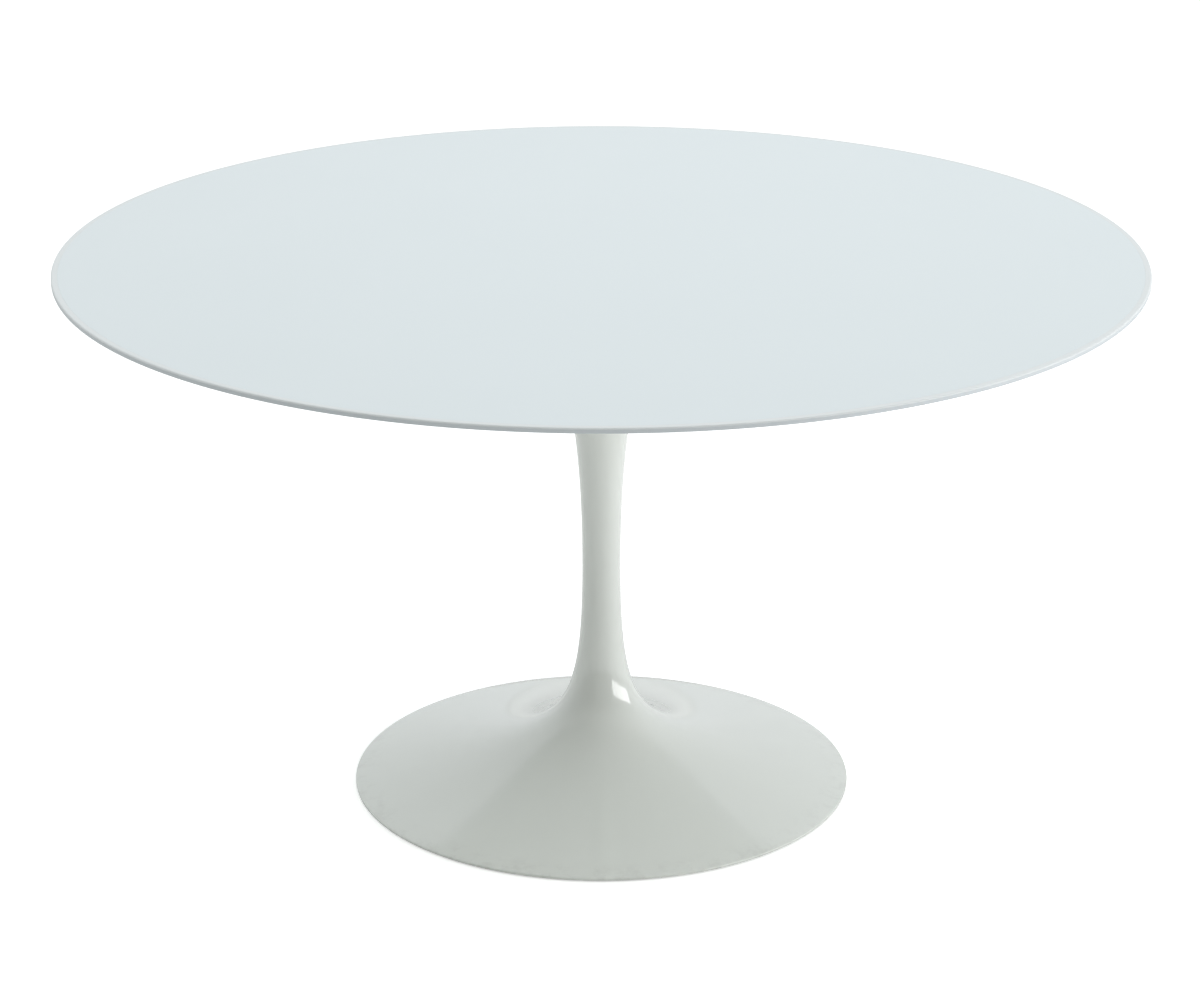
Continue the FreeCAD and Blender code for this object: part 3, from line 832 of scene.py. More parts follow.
@dataclass(frozen=True)
class Laminate(Finish):
    """Hard decorative sheet: a close pearl texture and faint wiped streaks."""

    glossy: float = 0.30
    dull: float = 0.38
    pearl_cell: float = 0.6 * MM
    pearl_depth: float = 0.008 * MM

    def dress(self, surface: Surface) -> None:
        """See Finish."""
        tone = surface.tone(self.colour, cell=0.35, amount=0.02)
        gloss = surface.gloss(0.22, self.glossy, self.dull)
        pearl = surface.relief(self.pearl_cell, self.pearl_depth)
        swell = surface.relief(cell=0.12, depth=0.02 * MM)
        surface.paint(tone, gloss, pearl, swell)


@dataclass(frozen=True)
class Enamel(Finish):
    """Sprayed and stoved coat: orange peel, a clear glossy skin, and rubs where the surface is handled."""

    rubbed: Colour = (0.56, 0.56, 0.54)
    rubbed_roughness: float = 0.5
    glossy: float = 0.10
    dull: float = 0.17
    peel_cell: float = 3.2 * MM
    peel_depth: float = 0.012 * MM
    coat: float = 1.0
    coat_roughness: float = 0.04
    rub_below: float = 12 * MM
    rub_at_floor: float = 0.55

    def dress(self, surface: Surface) -> None:
        """See Finish."""
        tone = surface.tone(self.colour, cell=0.18, amount=0.025)
        gloss = surface.gloss(0.15, self.glossy, self.dull)
        low = surface.remap(surface.height(), 0.0, self.rub_below, self.rub_at_floor, 0.0)
        rub = surface.call(edge_rub(), Mask=low, Cell=0.02, Colour=tone, Rubbed_Colour=self.rubbed,
                           Roughness=gloss, Rubbed_Roughness=self.rubbed_roughness)
        peel = surface.relief(self.peel_cell, self.peel_depth)
        swell = surface.relief(cell=0.05, depth=0.03 * MM)
        coat = {"Coat_Weight": self.coat, "Coat_Roughness": self.coat_roughness}
        surface.paint(rub["Colour"], rub["Roughness"], peel, swell, **coat)


@dataclass(frozen=True)
class Moulding(Finish):
    """Moulded or extruded plastic: satin, with a faint texture."""

    roughness: float = 0.36
    cell: float = 1.2 * MM
    depth: float = 0.01 * MM
    inner_light: float = 0.0

    def tint(self, surface: Surface) -> Socket:
        """The plastic's colour."""
        return surface.tone(self.colour, cell=0.09, amount=0.03)

    def dress(self, surface: Surface) -> None:
        """See Finish."""
        gloss = surface.gloss(0.06, self.roughness - 0.04, self.roughness + 0.06)
        skin = surface.relief(self.cell, self.depth)
        inner = {"Subsurface_Weight": self.inner_light, "Subsurface_Scale": 2 * MM}
        surface.paint(self.tint(surface), gloss, skin, **inner)


@dataclass(frozen=True)
class EdgeMoulding(Moulding):
    """Solid plastic edge: the ring scraped flush with the sheet is paler than the side, whose darker bluish
    grey is painted shade.
    """

    # painted shade: the upright side's darker bluish grey stands for the shade that side sits in, not a
    # plastic of another colour
    side_shade_colour: Colour = (0.61, 0.65, 0.68)
    side_top: float = 712.6 * MM
    ring_bottom: float = 713.6 * MM

    def tint(self, surface: Surface) -> Socket:
        """See Moulding."""
        # painted shade on the upright side, turning into the ring's own colour by height
        side = surface.tone(self.side_shade_colour, cell=0.09, amount=0.03)
        on_ring = surface.remap(surface.height(), self.side_top, self.ring_bottom)
        return surface.blend(on_ring, side, super().tint(surface))


@dataclass(frozen=True)
class Painted(Finish):
    """Brushed or rolled paint: a soft grain, dull, over board or plate."""

    roughness: float = 0.45
    cell: float = 1.6 * MM
    depth: float = 0.03 * MM

    def dress(self, surface: Surface) -> None:
        """See Finish."""
        tone = surface.tone(self.colour, cell=0.12, amount=0.05)
        gloss = surface.gloss(0.08, self.roughness - 0.05, self.roughness + 0.1)
        grain = surface.call(grain_relief(), Cell=self.cell, Depth=self.depth)
        surface.paint(tone, gloss, grain["Height"])


@dataclass(frozen=True)
class Casting(Finish):
    """Sand-cast surface under a thin mist of paint, darker in its hollows."""

    hollow: Colour = (0.36, 0.36, 0.35)
    roughness: float = 0.6
    cell: float = 2.4 * MM
    depth: float = 0.22 * MM
    hollow_share: float = 0.55

    def dress(self, surface: Surface) -> None:
        """See Finish."""
        tone = surface.tone(self.colour, cell=0.1, amount=0.12)
        gloss = surface.gloss(0.05, self.roughness - 0.1, self.roughness + 0.15)
        grain = surface.call(grain_relief(), Cell=self.cell, Depth=self.depth)
        shade = surface.product(grain["Hollows"], self.hollow_share)
        surface.paint(surface.blend(shade, tone, self.hollow), gloss, grain["Height"])


@dataclass(frozen=True)
class Metal(Finish):
    """Bare or plated metal: turned rings, clouded plating and dull rubs."""

    clouded: Colour = (0.44, 0.43, 0.42)
    roughness: float = 0.3
    ring_pitch: float = 0.25 * MM
    ring_depth: float = 0.004 * MM
    cloud_cell: float = 4.0 * MM
    cloud_dulling: float = 0.16

    def dress(self, surface: Surface) -> None:
        """See Finish."""
        rings = surface.call(turning_marks(), Pitch=self.ring_pitch, Depth=self.ring_depth)[0]
        skin = surface.relief(cell=1.5 * MM, depth=0.01 * MM)
        dull = self.roughness + self.cloud_dulling
        clouds = surface.call(edge_rub(), Mask=1.0, Cell=self.cloud_cell, Colour=self.colour,
                              Rubbed_Colour=self.clouded, Roughness=self.roughness, Rubbed_Roughness=dull)
        surface.paint(clouds["Colour"], clouds["Roughness"], rings, skin, Metallic=1.0)


TOP_SHEET = Laminate("white_laminate", (0.75, 0.81, 0.84))
BACK_SHEET = Laminate("backing_laminate", (0.70, 0.715, 0.69), 0.5, 0.62, 1.4 * MM, 0.03 * MM)
EDGE_PLASTIC = EdgeMoulding("white_edge", (0.765, 0.795, 0.81))
BOARD_PAINT = Painted("board_paint", (0.72, 0.735, 0.73))
PLATE_PAINT = Painted("plate_paint", (0.72, 0.73, 0.72), 0.4, 0.9 * MM, 0.02 * MM)
TRUMPET_ENAMEL = Enamel("trumpet_enamel", (0.835, 0.86, 0.825))
CAST_MIST = Casting("cast_mist", (0.62, 0.63, 0.62), (0.36, 0.36, 0.35))
CAST_IRON = Casting("ballast_iron", (0.045, 0.046, 0.048), (0.02, 0.018, 0.016), 0.55, 3.0 * MM, 0.3 * MM)
TURNED_STEEL = Metal("turned_steel", (0.56, 0.56, 0.57), (0.44, 0.43, 0.42), 0.26)
ZINC_PLATE = Metal("zinc_plate", (0.66, 0.67, 0.70), (0.54, 0.55, 0.56), 0.32, 0.18 * MM)
BRASS = Metal("brass", (0.80, 0.61, 0.30), (0.62, 0.46, 0.22), 0.28)
GASKET_NYLON = Moulding("gasket_nylon", (0.70, 0.71, 0.70), 0.5, 1.0 * MM, 0.02 * MM, 0.1)
GLIDE_NYLON = Moulding("glide_nylon", (0.62, 0.63, 0.62), 0.45, 1.5 * MM, 0.02 * MM, 0.1)


# ---- sub-assemblies -----------------------------------------------------------------------------
@dataclass
class TableTop:
    """The board with its laminates, solid edge and inserts."""

    sides: int = 384
    bevel_width: float = 90 * MM
    bevel_round: float = 3 * MM
    lipping_top_radius: float = 2.0 * MM
    lipping_bottom_radius: float = 1.0 * MM
    joint_break: float = 0.25 * MM
    sheet: Span = field(default_factory=lambda: Span.of("top_laminate"))
    core: Span = field(default_factory=lambda: Span.of("top_core"))
    lipping: Span = field(default_factory=lambda: Span.of("edge_lipping"))
    backer: Span = field(default_factory=lambda: Span.of("backing_laminate"))
    edge_height: float = 6.5 * MM
    insert_circle: float = 150 * MM
    insert_count: int = 8

    def bevel_height(self, radius: float) -> float:
        """Height of the undercut at a radius."""
        edge = self.lipping.top - self.edge_height
        share = (self.lipping.radius - radius) / self.bevel_width
        return edge + (self.core.bottom - edge) * share

    def build_laminates(self) -> None:
        """The face sheet and the balancing sheet, their corners just broken."""
        top = turned(band(0, self.sheet, (0, 0, self.joint_break, 0)), self.sides, False)
        piece("laminate_sheet", top, TOP_SHEET, "top_laminate", "top_laminate")
        under = turned(band(0, self.backer, (0, self.joint_break, 0, 0)), self.sides, False)
        piece("balancing_sheet", under, BACK_SHEET, "backing_laminate", "backing_laminate")

    def build_board(self) -> None:
        """The board with its painted undercut."""
        core, flat = self.core, self.lipping.radius - self.bevel_width
        outline = rounded([
            (0, core.bottom, 0),
            (flat, core.bottom, self.bevel_round),
            (core.radius, self.bevel_height(core.radius), 0),
            (core.radius, core.top, 0),
            (0, core.top, 0),
        ], False, 8)
        piece("fibre_board", turned(outline, self.sides, False), BOARD_PAINT, "edge_paint", "top_core")

    def build_lipping(self) -> None:
        """The solid edge: a flush top face, a small round, the upright rim and the bevel's outer end."""
        lip, inside = self.lipping, self.core.radius
        outline = rounded([
            (inside, self.bevel_height(inside), 0),
            (lip.radius, lip.top - self.edge_height, self.lipping_bottom_radius),
            (lip.radius, lip.top, self.lipping_top_radius),
            (inside, lip.top, self.joint_break),
        ], True, 6)
        piece("edge_band", turned(outline, self.sides), EDGE_PLASTIC, "edge_lipping", "edge_lipping")

    def build_inserts(self) -> None:
        """Flanged brass inserts with coarse outer threads."""
        insert = Span.of("threaded_inserts")
        bore, sleeve, flange, flange_height, groove_depth = mm(3.05, 5, 6.5, 1, 0.6)
        neck, grooves = insert.bottom + flange_height, 6
        corners = [(bore, insert.bottom, 0.3 * MM), (flange, insert.bottom, 0.3 * MM)]
        corners += [(flange, neck, 0), (sleeve, neck, 0)]
        pitch = (insert.top - insert.bottom - flange_height) / (grooves + 1)
        for i in range(grooves):
            middle, half = neck + pitch * (i + 1), pitch * 0.3
            corners += [(sleeve, middle - half, 0), (sleeve - groove_depth, middle, 0)]
            corners.append((sleeve, middle + half, 0))
        corners += [(sleeve, insert.top, 0.4 * MM), (bore, insert.top, 0.2 * MM)]
        single = turned(rounded(corners, True, 2), 48)
        copies = ring(single, BRASS, self.insert_count, self.insert_circle, math.pi / self.insert_count)
        piece("board_inserts", copies, BRASS, "brass", "threaded_inserts")

    def build(self) -> None:
        """Builds the whole top."""
        self.build_laminates()
        self.build_board()
        self.build_lipping()
        self.build_inserts()


@dataclass
class Fasteners:
    """A ring of bolts with plain washers, threads up and heads down. Pitch to turns describe the thread."""

    count: int
    circle: float
    first: float
    shank: float
    pitch: float
    depth: float
    taper: float
    turns: int
    washer_hole: float
    washer_radius: float

    def ring(self, mesh: Mesh, finish: Finish) -> Mesh:
        """Copies of a mesh, one at every bolt."""
        return ring(mesh, finish, self.count, self.circle, self.first)

    def build(self, head: Mesh, names: tuple[str, str], thread_from: float, bolts: str, washers: str) -> None:
        """Builds the bolts and their washers.

        Args:
            head: A bolt's head, on the axis.
            names: The names of the two pieces.
            thread_from: Height of the thread's lower end.
            bolts: The bolts' frame node.
            washers: The washers' frame node.
        """
        bar = Span(self.shank, thread_from, Span.of(bolts).top)
        bolt = joined([head, thread(bar, self.pitch, self.depth, self.taper, 24, self.turns)])
        span = Span.of(washers).narrowed(self.washer_radius)
        flat = band(self.washer_hole, span, mm(0.15, 0.35, 0.15, 0.15), 3)
        for name, mesh, node in zip(names, (bolt, turned(flat, 48)), (bolts, washers)):
            piece(name, self.ring(mesh, ZINC_PLATE), ZINC_PLATE, "zinc_hardware", node)


@dataclass
class Mounting:
    """The steel plate under the top, its hub, bolts and washers, and the gasket on the stem."""

    sides: int = 192
    plate: Span = field(default_factory=lambda: Span.of("mounting_plate"))
    hub: Span = field(default_factory=lambda: Span.of("plate_hub"))
    gasket: Span = field(default_factory=lambda: Span.of("stem_gasket"))
    hub_radius: float = 30 * MM
    hub_chamfer: float = 1.5 * MM
    spigot_radius: float = 20 * MM
    bore_radius: float = 8.05 * MM
    bore_relief: float = 1 * MM
    gasket_bore: float = 30.5 * MM
    head_radius: float = 5.25 * MM
    socket_flats: float = 4 * MM
    socket_depth: float = 2 * MM
    bolts: Fasteners = field(default_factory=lambda: Fasteners(
        count=8, circle=150 * MM, first=math.pi / 8, shank=3 * MM, pitch=1 * MM, depth=0.6 * MM,
        taper=0.6 * MM, turns=15, washer_hole=3.3 * MM, washer_radius=6 * MM))

    def build_plate(self) -> None:
        """The round plate with its lower edge broken."""
        outline = band(self.spigot_radius, self.plate, mm(0.3, 1, 0.3, 0.3))
        piece("steel_plate", turned(outline, self.sides), PLATE_PAINT, "plate_paint", "mounting_plate")

    def build_hub(self) -> None:
        """The turned hub, chamfered at its nose, with a relieved bore."""
        hub, plate, bore = self.hub, self.plate, self.bore_radius
        nose, relief = self.hub_chamfer, self.bore_relief
        outline = rounded([
            (bore + relief, hub.bottom, 0),
            (self.hub_radius - nose, hub.bottom, 0.2 * MM),
            (self.hub_radius, hub.bottom + nose, 0.2 * MM),
            (self.hub_radius, plate.bottom, 0.2 * MM),
            (self.spigot_radius, plate.bottom, 0),
            (self.spigot_radius, hub.top, 0.4 * MM),
            (bore, hub.top, 0.3 * MM),
            (bore, hub.bottom + relief, 0),
        ])
        piece("turned_hub", turned(outline, 128), TURNED_STEEL, "turned_steel", "plate_hub")

    def build_bolts(self) -> None:
        """Button-head bolts with a hexagon socket and a threaded shank, and their washers."""
        seat, crown = Span.of("plate_washers").bottom, Span.of("plate_bolts").bottom
        steps, rim, edge, flats, shank = 8, 0.62 * self.head_radius, 0.12, self.socket_flats, self.bolts.shank
        dome = []
        for i in range(steps + 1):
            angle = math.pi / 2 * i / steps
            radius = rim + (self.head_radius - rim) * math.sin(angle)
            dome.append(Ring(seat - (seat - crown) * (edge + (1 - edge) * math.cos(angle)), radius))
        floor, stub = crown + self.socket_depth, seat + 1.5 * MM
        socket = [
            Ring(floor + 0.7 * MM, 0.0),
            Ring(floor, flats / 2, flats),
            Ring(crown + 0.15 * MM, math.inf, flats),
            Ring(crown, math.inf, flats * 1.06),
        ]
        neck = [Ring(seat, self.head_radius), Ring(seat, shank), Ring(stub, shank), Ring(stub, 0.0)]
        head = loft(socket + dome + neck, 72, False)
        names = ("plate_screws", "plate_washer_ring")
        self.bolts.build(head, names, seat + 1 * MM, "plate_bolts", "plate_washers")

    def build_gasket(self) -> None:
        """The thin ring on the flange, its outer edge rounded."""
        outline = band(self.gasket_bore, self.gasket, mm(0.1, 0.4, 0.4, 0.1))
        piece("flange_gasket", turned(outline, self.sides), GASKET_NYLON, "gasket_nylon", "stem_gasket")

    def build_pins(self) -> None:
        """Dowels with chamfered ends."""
        low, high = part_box("locating_pins")
        radius, chamfer, rise, soft = high.y, *mm(0.6, 0.9, 0.2)
        outline = rounded([
            (0, low.z, 0),
            (radius - chamfer, low.z, 0),
            (radius, low.z + rise, soft),
            (radius, high.z - rise, soft),
            (radius - chamfer, high.z, 0),
            (0, high.z, 0),
        ], False)
        pins = ring(turned(outline, 48, False), TURNED_STEEL, 2, high.x - radius)
        piece("dowel_pins", pins, TURNED_STEEL, "turned_steel", "locating_pins")

    def build(self) -> None:
        """Builds the mounting."""
        self.build_plate()
        self.build_hub()
        self.build_bolts()
        self.build_gasket()
        self.build_pins()


@dataclass
class Pedestal:
    """The trumpet casting, closed at the top by its flange and open at the foot."""

    sides: int = 384
    casting: Span = field(default_factory=lambda: Span.of("pedestal"))
    neck_radius: float = 24.8 * MM
    neck_height: float = 298 * MM
    flange_radius: float = 86 * MM
    flange_edge: float = 3 * MM
    flange_round: float = 1 * MM
    flare_reach: float = 227 * MM
    flare_tightness: float = 1.2
    foot_slope: float = math.radians(11.5)
    foot_tightness: float = 2.5
    rim_height: float = 3.5 * MM
    rim_round: float = 1.2 * MM
    edge_soft: float = 0.5 * MM
    neck_wall: float = 10.5 * MM
    flange_wall: float = 9 * MM
    foot_wall: float = 6 * MM
    diaphragm: float = 12 * MM
    hub_hole: float = 30.5 * MM
    groove_depth: float = 2.5 * MM
    groove_clearance: float = 0.1 * MM
    glide_width: float = 5 * MM
    web_bottom: float = 78 * MM
    web_top: float = 92 * MM
    web_radius: float = 62 * MM
    web_draft: float = 14 * MM
    rod_hole: float = 9 * MM
    rib_count: int = 8
    rib_thickness: float = 5 * MM
    rib_inner: float = 34 * MM
    rib_outer: float = 303 * MM
    rib_foot: float = 5 * MM
    rib_ledge: float = 22 * MM
    rib_nose: float = 40 * MM
    ledge_inner: float = 55 * MM
    ledge_outer: float = 206 * MM
    rib_bite: float = 1.5 * MM
    web_bite: float = 5 * MM
    rib_least: float = 0.5 * MM
    boss_radius: float = 13 * MM
    boss_circle: float = 130 * MM
    boss_bottom: float = 21 * MM
    boss_height: float = 27 * MM
    boss_hole_depth: float = 16 * MM
    boss_ease: float = 1 * MM
    boss_count: int = 4
    bolt_hole: float = 4.05 * MM

    def outer(self) -> Trumpet:
        """The outer wall's rule."""
        foot = (self.casting.radius, self.casting.bottom + self.rim_height)
        flange = (self.flange_radius, self.casting.top - self.flange_edge)
        return self.rule(foot, (self.neck_radius, self.neck_height), flange)

    def hollow(self) -> Trumpet:
        """The inner wall's rule, one wall inside the outer one."""
        drop = self.foot_wall / math.cos(self.foot_slope)
        reach = (drop - self.rim_height) / math.tan(self.foot_slope)
        foot = (self.casting.radius - reach, self.casting.bottom)
        flange = (self.flange_radius - self.flange_wall, self.casting.top - self.diaphragm)
        return self.rule(foot, (self.neck_radius - self.neck_wall, self.neck_height), flange)

    def rule(self, foot: Point, neck: Point, flange: Point) -> Trumpet:
        """A wall's rule, from its three places."""
        shape = (self.flare_reach, self.foot_slope, self.foot_tightness, self.flare_tightness)
        return Trumpet(foot, neck, flange, *shape)

    def wall(self) -> tuple[Point, list[Arc]]:
        """The whole wall's section, counter-clockwise from the foot's inner edge."""
        outer, hollow = self.outer(), self.hollow()
        glide, slope = Span.of("glide_ring").radius, self.foot_slope
        low, edge, soft = self.casting.bottom, self.casting.radius, self.edge_soft
        roof = low + self.groove_depth
        groove_out = glide + self.groove_clearance
        groove_in = glide - self.glide_width - self.groove_clearance
        back = self.rim_round / math.tan((math.pi / 2 + slope) / 2)
        shoulder = (edge - back * math.cos(slope), outer.foot[1] + back * math.sin(slope))
        tight = math.cos(math.pi / 4)
        flange, top, soft_top = self.flange_radius, self.casting.top, self.flange_round
        return hollow.foot, [
            Arc("foot inner face", (groove_in, low)),
            Arc("groove inner side", (groove_in, roof)),
            Arc("groove roof", (groove_out, roof)),
            Arc("groove outer side", (groove_out, low)),
            Arc("foot outer face", (edge - soft, low)),
            Arc("foot edge", (edge, low + soft), (edge, low), tight, 4),
            Arc("rim face", (edge, outer.foot[1] - back)),
            Arc("rim round", shoulder, outer.foot, math.cos((math.pi / 2 - slope) / 2), 8),
            Arc("lower flare", outer.neck, outer.foot_corner(), outer.foot_tightness, 84),
            Arc("upper flare", outer.flange, outer.flare_corner(), outer.flare_tightness, 44),
            Arc("flange edge", (flange, top - soft_top)),
            Arc("flange round", (flange - soft_top, top), (flange, top), tight, 5),
            Arc("flange face", (self.hub_hole, top)),
            Arc("hub hole", (self.hub_hole, hollow.flange[1]), outside=False),
            Arc("diaphragm face", hollow.flange, outside=False),
            Arc("upper hollow", hollow.neck, hollow.flare_corner(), hollow.flare_tightness, 18, False),
            Arc("lower hollow", hollow.foot, hollow.foot_corner(), hollow.foot_tightness, 36, False),
        ]

    def web(self) -> tuple[Point, list[Arc]]:
        """The web's section, let into the wall."""
        start = (self.rod_hole, self.web_bottom)
        return start, [
            Arc("web underside", (self.web_radius, self.web_bottom)),
            Arc("web rim", (self.web_radius - self.web_draft, self.web_top)),
            Arc("web upper face", (self.rod_hole, self.web_top)),
            Arc("web hole", start),
        ]

    def boss(self) -> tuple[Point, list[Arc]]:
        """A boss's section about its own axis, with a blind hole from below."""
        low, ease, radius = self.boss_bottom, self.boss_ease, self.boss_radius
        high, deep = low + self.boss_height, low + self.boss_hole_depth
        start = (self.bolt_hole, low)
        return start, [
            Arc("boss seat", (radius - ease, low)),
            Arc("boss chamfer", (radius, low + ease)),
            Arc("boss side", (radius + ease, high)),
            Arc("boss end", (0.0, high)),
            Arc("boss core", (0.0, deep)),
            Arc("boss hole end", (self.bolt_hole, deep)),
            Arc("boss hole", start),
        ]

    def rib(self, graph: Graph) -> Socket:
        """Adds a rib along +X that follows the hollow and steps over the ballast.

        Args:
            graph: The casting's tree.

        Returns:
            The socket that holds the rib.
        """
        rule = self.hollow()
        counts = {"Vertices X": 49, "Vertices Y": 2, "Vertices Z": 2}
        blade = graph.value("GeometryNodeMeshCube", {"Size": (1.0, 1.0, 1.0), **counts})
        place = graph.split(graph.value("GeometryNodeInputPosition"))
        first, last = rule.share_at(self.rib_inner), rule.share_at(self.rib_outer)
        ends = [
            vector_input(graph, "upper hollow end", rule.neck),
            vector_input(graph, "lower hollow corner", rule.foot_corner()),
            vector_input(graph, "lower hollow end", rule.foot),
        ]
        share = graph.remap(place["X"], -0.5, 0.5, first, last)
        point = graph.split(conic_point(graph, share, ends, rule.foot_tightness))
        into_wall = graph.total(point["Z"], self.rib_bite)
        roof = graph.math("MINIMUM", into_wall, self.web_bottom + self.web_bite)
        nose = graph.remap(point["X"], self.rib_inner, self.ledge_inner, self.rib_nose, self.rib_ledge)
        step = self.rib_ledge - self.rib_foot
        fall = graph.remap(point["X"], self.ledge_outer, self.ledge_outer + step, 0.0, step)
        floor = graph.math("MINIMUM", graph.less(nose, fall), graph.less(roof, self.rib_least))
        height = graph.remap(place["Z"], -0.5, 0.5, floor, roof)
        side = graph.product(place["Y"], self.rib_thickness)
        return moved(graph, blade, graph.combine(point["X"], side, height))

    def tree(self) -> Graph:
        """The casting's whole Geometry Nodes tree."""
        takes = {"Coat": MATERIAL, "Cast": MATERIAL}
        graph = Graph.group("trumpet_casting", "Geometry", takes, {"Casting": GEOMETRY})
        coat, cast = graph["Coat"], graph["Cast"]
        wall = section_mesh(graph, *self.wall(), self.sides, coat, cast)
        web = section_mesh(graph, *self.web(), 96, cast, cast)
        boss = section_mesh(graph, *self.boss(), 40, cast, cast)
        copies = []
        for shape, count, circle, first in (
            (self.rib(graph), self.rib_count, 0.0, math.pi / self.rib_count),
            (boss, self.boss_count, self.boss_circle, 0.0),
        ):
            places = {"Count": count, "Circle Radius": circle, "First Angle": first}
            copies.append(graph.nest(ring_of(), {"Piece": shape, **places, "Finish": cast}).outputs[0])
        chosen = graph.value("GeometryNodeMaterialSelection", {"Material": cast})
        whole = dressed(graph, graph.join(wall, web, *copies), cast, Selection=chosen)
        return graph.give(Casting=whole)

    def build(self) -> None:
        """Builds the casting."""
        mesh = grown(self.tree(), {"Coat": TRUMPET_ENAMEL.material(), "Cast": CAST_MIST.material()})
        piece("trumpet_casting", mesh, None, "pedestal_coat", "pedestal")


@dataclass
class Clamp:
    """The tie rod and the nuts and washers that draw the top down."""

    rod: Span = field(default_factory=lambda: Span.of("tie_rod"))
    rod_pitch: float = 2 * MM
    thread_depth: float = 1.1 * MM
    upper_thread: float = 60 * MM
    lower_thread: float = 70 * MM
    flats: float = 24 * MM
    nut_chamfer: float = 1.4 * MM
    nut_clearance: float = 0.05 * MM
    hole: float = 9 * MM
    spring_hole: float = 8.2 * MM
    split: float = 2 * MM
    tilt: float = 0.25 * MM

    def thread(self, bottom: float, top: float) -> Mesh:
        """A threaded stretch of the rod."""
        bar, turns = Span(self.rod.radius, bottom, top), (top - bottom) / self.rod_pitch
        return thread(bar, self.rod_pitch, self.thread_depth, self.thread_depth, 36, turns)

    def build_rod(self) -> None:
        """The rod, threaded at both ends."""
        rod, overlap, step = self.rod, 1.2 * MM, 0.6 * MM
        low, high = rod.bottom + self.lower_thread, rod.top - self.upper_thread
        plain = band(0, Span(rod.radius - step, low - overlap, high + overlap), mm(0, 0.5, 0.5, 0))
        whole = joined([self.thread(rod.bottom, low), turned(plain, 48, False), self.thread(high, rod.top)])
        piece("long_rod", whole, ZINC_PLATE, "zinc_hardware", "tie_rod")

    def nut(self, span: Span) -> Mesh:
        """A hexagon nut with turned-off corners and a chamfered bore."""
        bore, ease, chamfer = self.rod.radius + self.nut_clearance, 1 * MM, self.nut_chamfer
        inner, low, high = self.flats * 0.48, span.bottom, span.top
        rings = [Ring(low + ease, bore), Ring(low, bore + ease), Ring(low, inner)]
        rings += hexagon_chamfer(low, chamfer, inner, self.flats, 6)
        rings += hexagon_chamfer(high, -chamfer, inner, self.flats, 6)[::-1]
        rings += [Ring(high, inner), Ring(high, bore + ease), Ring(high - ease, bore)]
        return loft(rings, 72)

    def build_nuts(self) -> None:
        """The clamp nut below and the thin lock nut above."""
        for name, node in (("clamping_nut", "clamp_nut"), ("lock_nut", "jam_nut")):
            piece(name, self.nut(Span.of(node)), ZINC_PLATE, "zinc_hardware", node)

    def build_washers(self) -> None:
        """The heavy washer and the split spring washer."""
        heavy = turned(band(self.hole, Span.of("clamp_washer"), mm(0.4, 0.8, 0.4, 0.3)), 96)
        piece("heavy_washer", heavy, ZINC_PLATE, "zinc_hardware", "clamp_washer")
        low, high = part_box("spring_washer")
        outer, inner, top, steps = -low.x, self.spring_hole, high.z - self.tilt, 64
        gap = math.asin(self.split / 2 / outer)
        points, faces = [], []
        for i in range(steps + 1):
            angle = gap + (TURN - 2 * gap) * i / steps
            lift = self.tilt * i / steps
            for radius, height in ((inner, low.z), (outer, low.z), (outer, top), (inner, top)):
                points.append((radius * math.cos(angle), radius * math.sin(angle), height + lift))
        for i in range(steps):
            for k in range(4):
                n = (k + 1) % 4
                faces.append((4 * i + k, 4 * i + 4 + k, 4 * i + 4 + n, 4 * i + n))
        faces += [(0, 1, 2, 3), tuple(4 * steps + k for k in (3, 2, 1, 0))]
        mesh = bpy.data.meshes.new("split_ring")
        mesh.from_pydata(points, [], faces)
        piece("split_washer", mesh, TURNED_STEEL, "zinc_hardware", "spring_washer")

    def build(self) -> None:
        """Builds the clamp."""
        self.build_rod()
        self.build_nuts()
        self.build_washers()


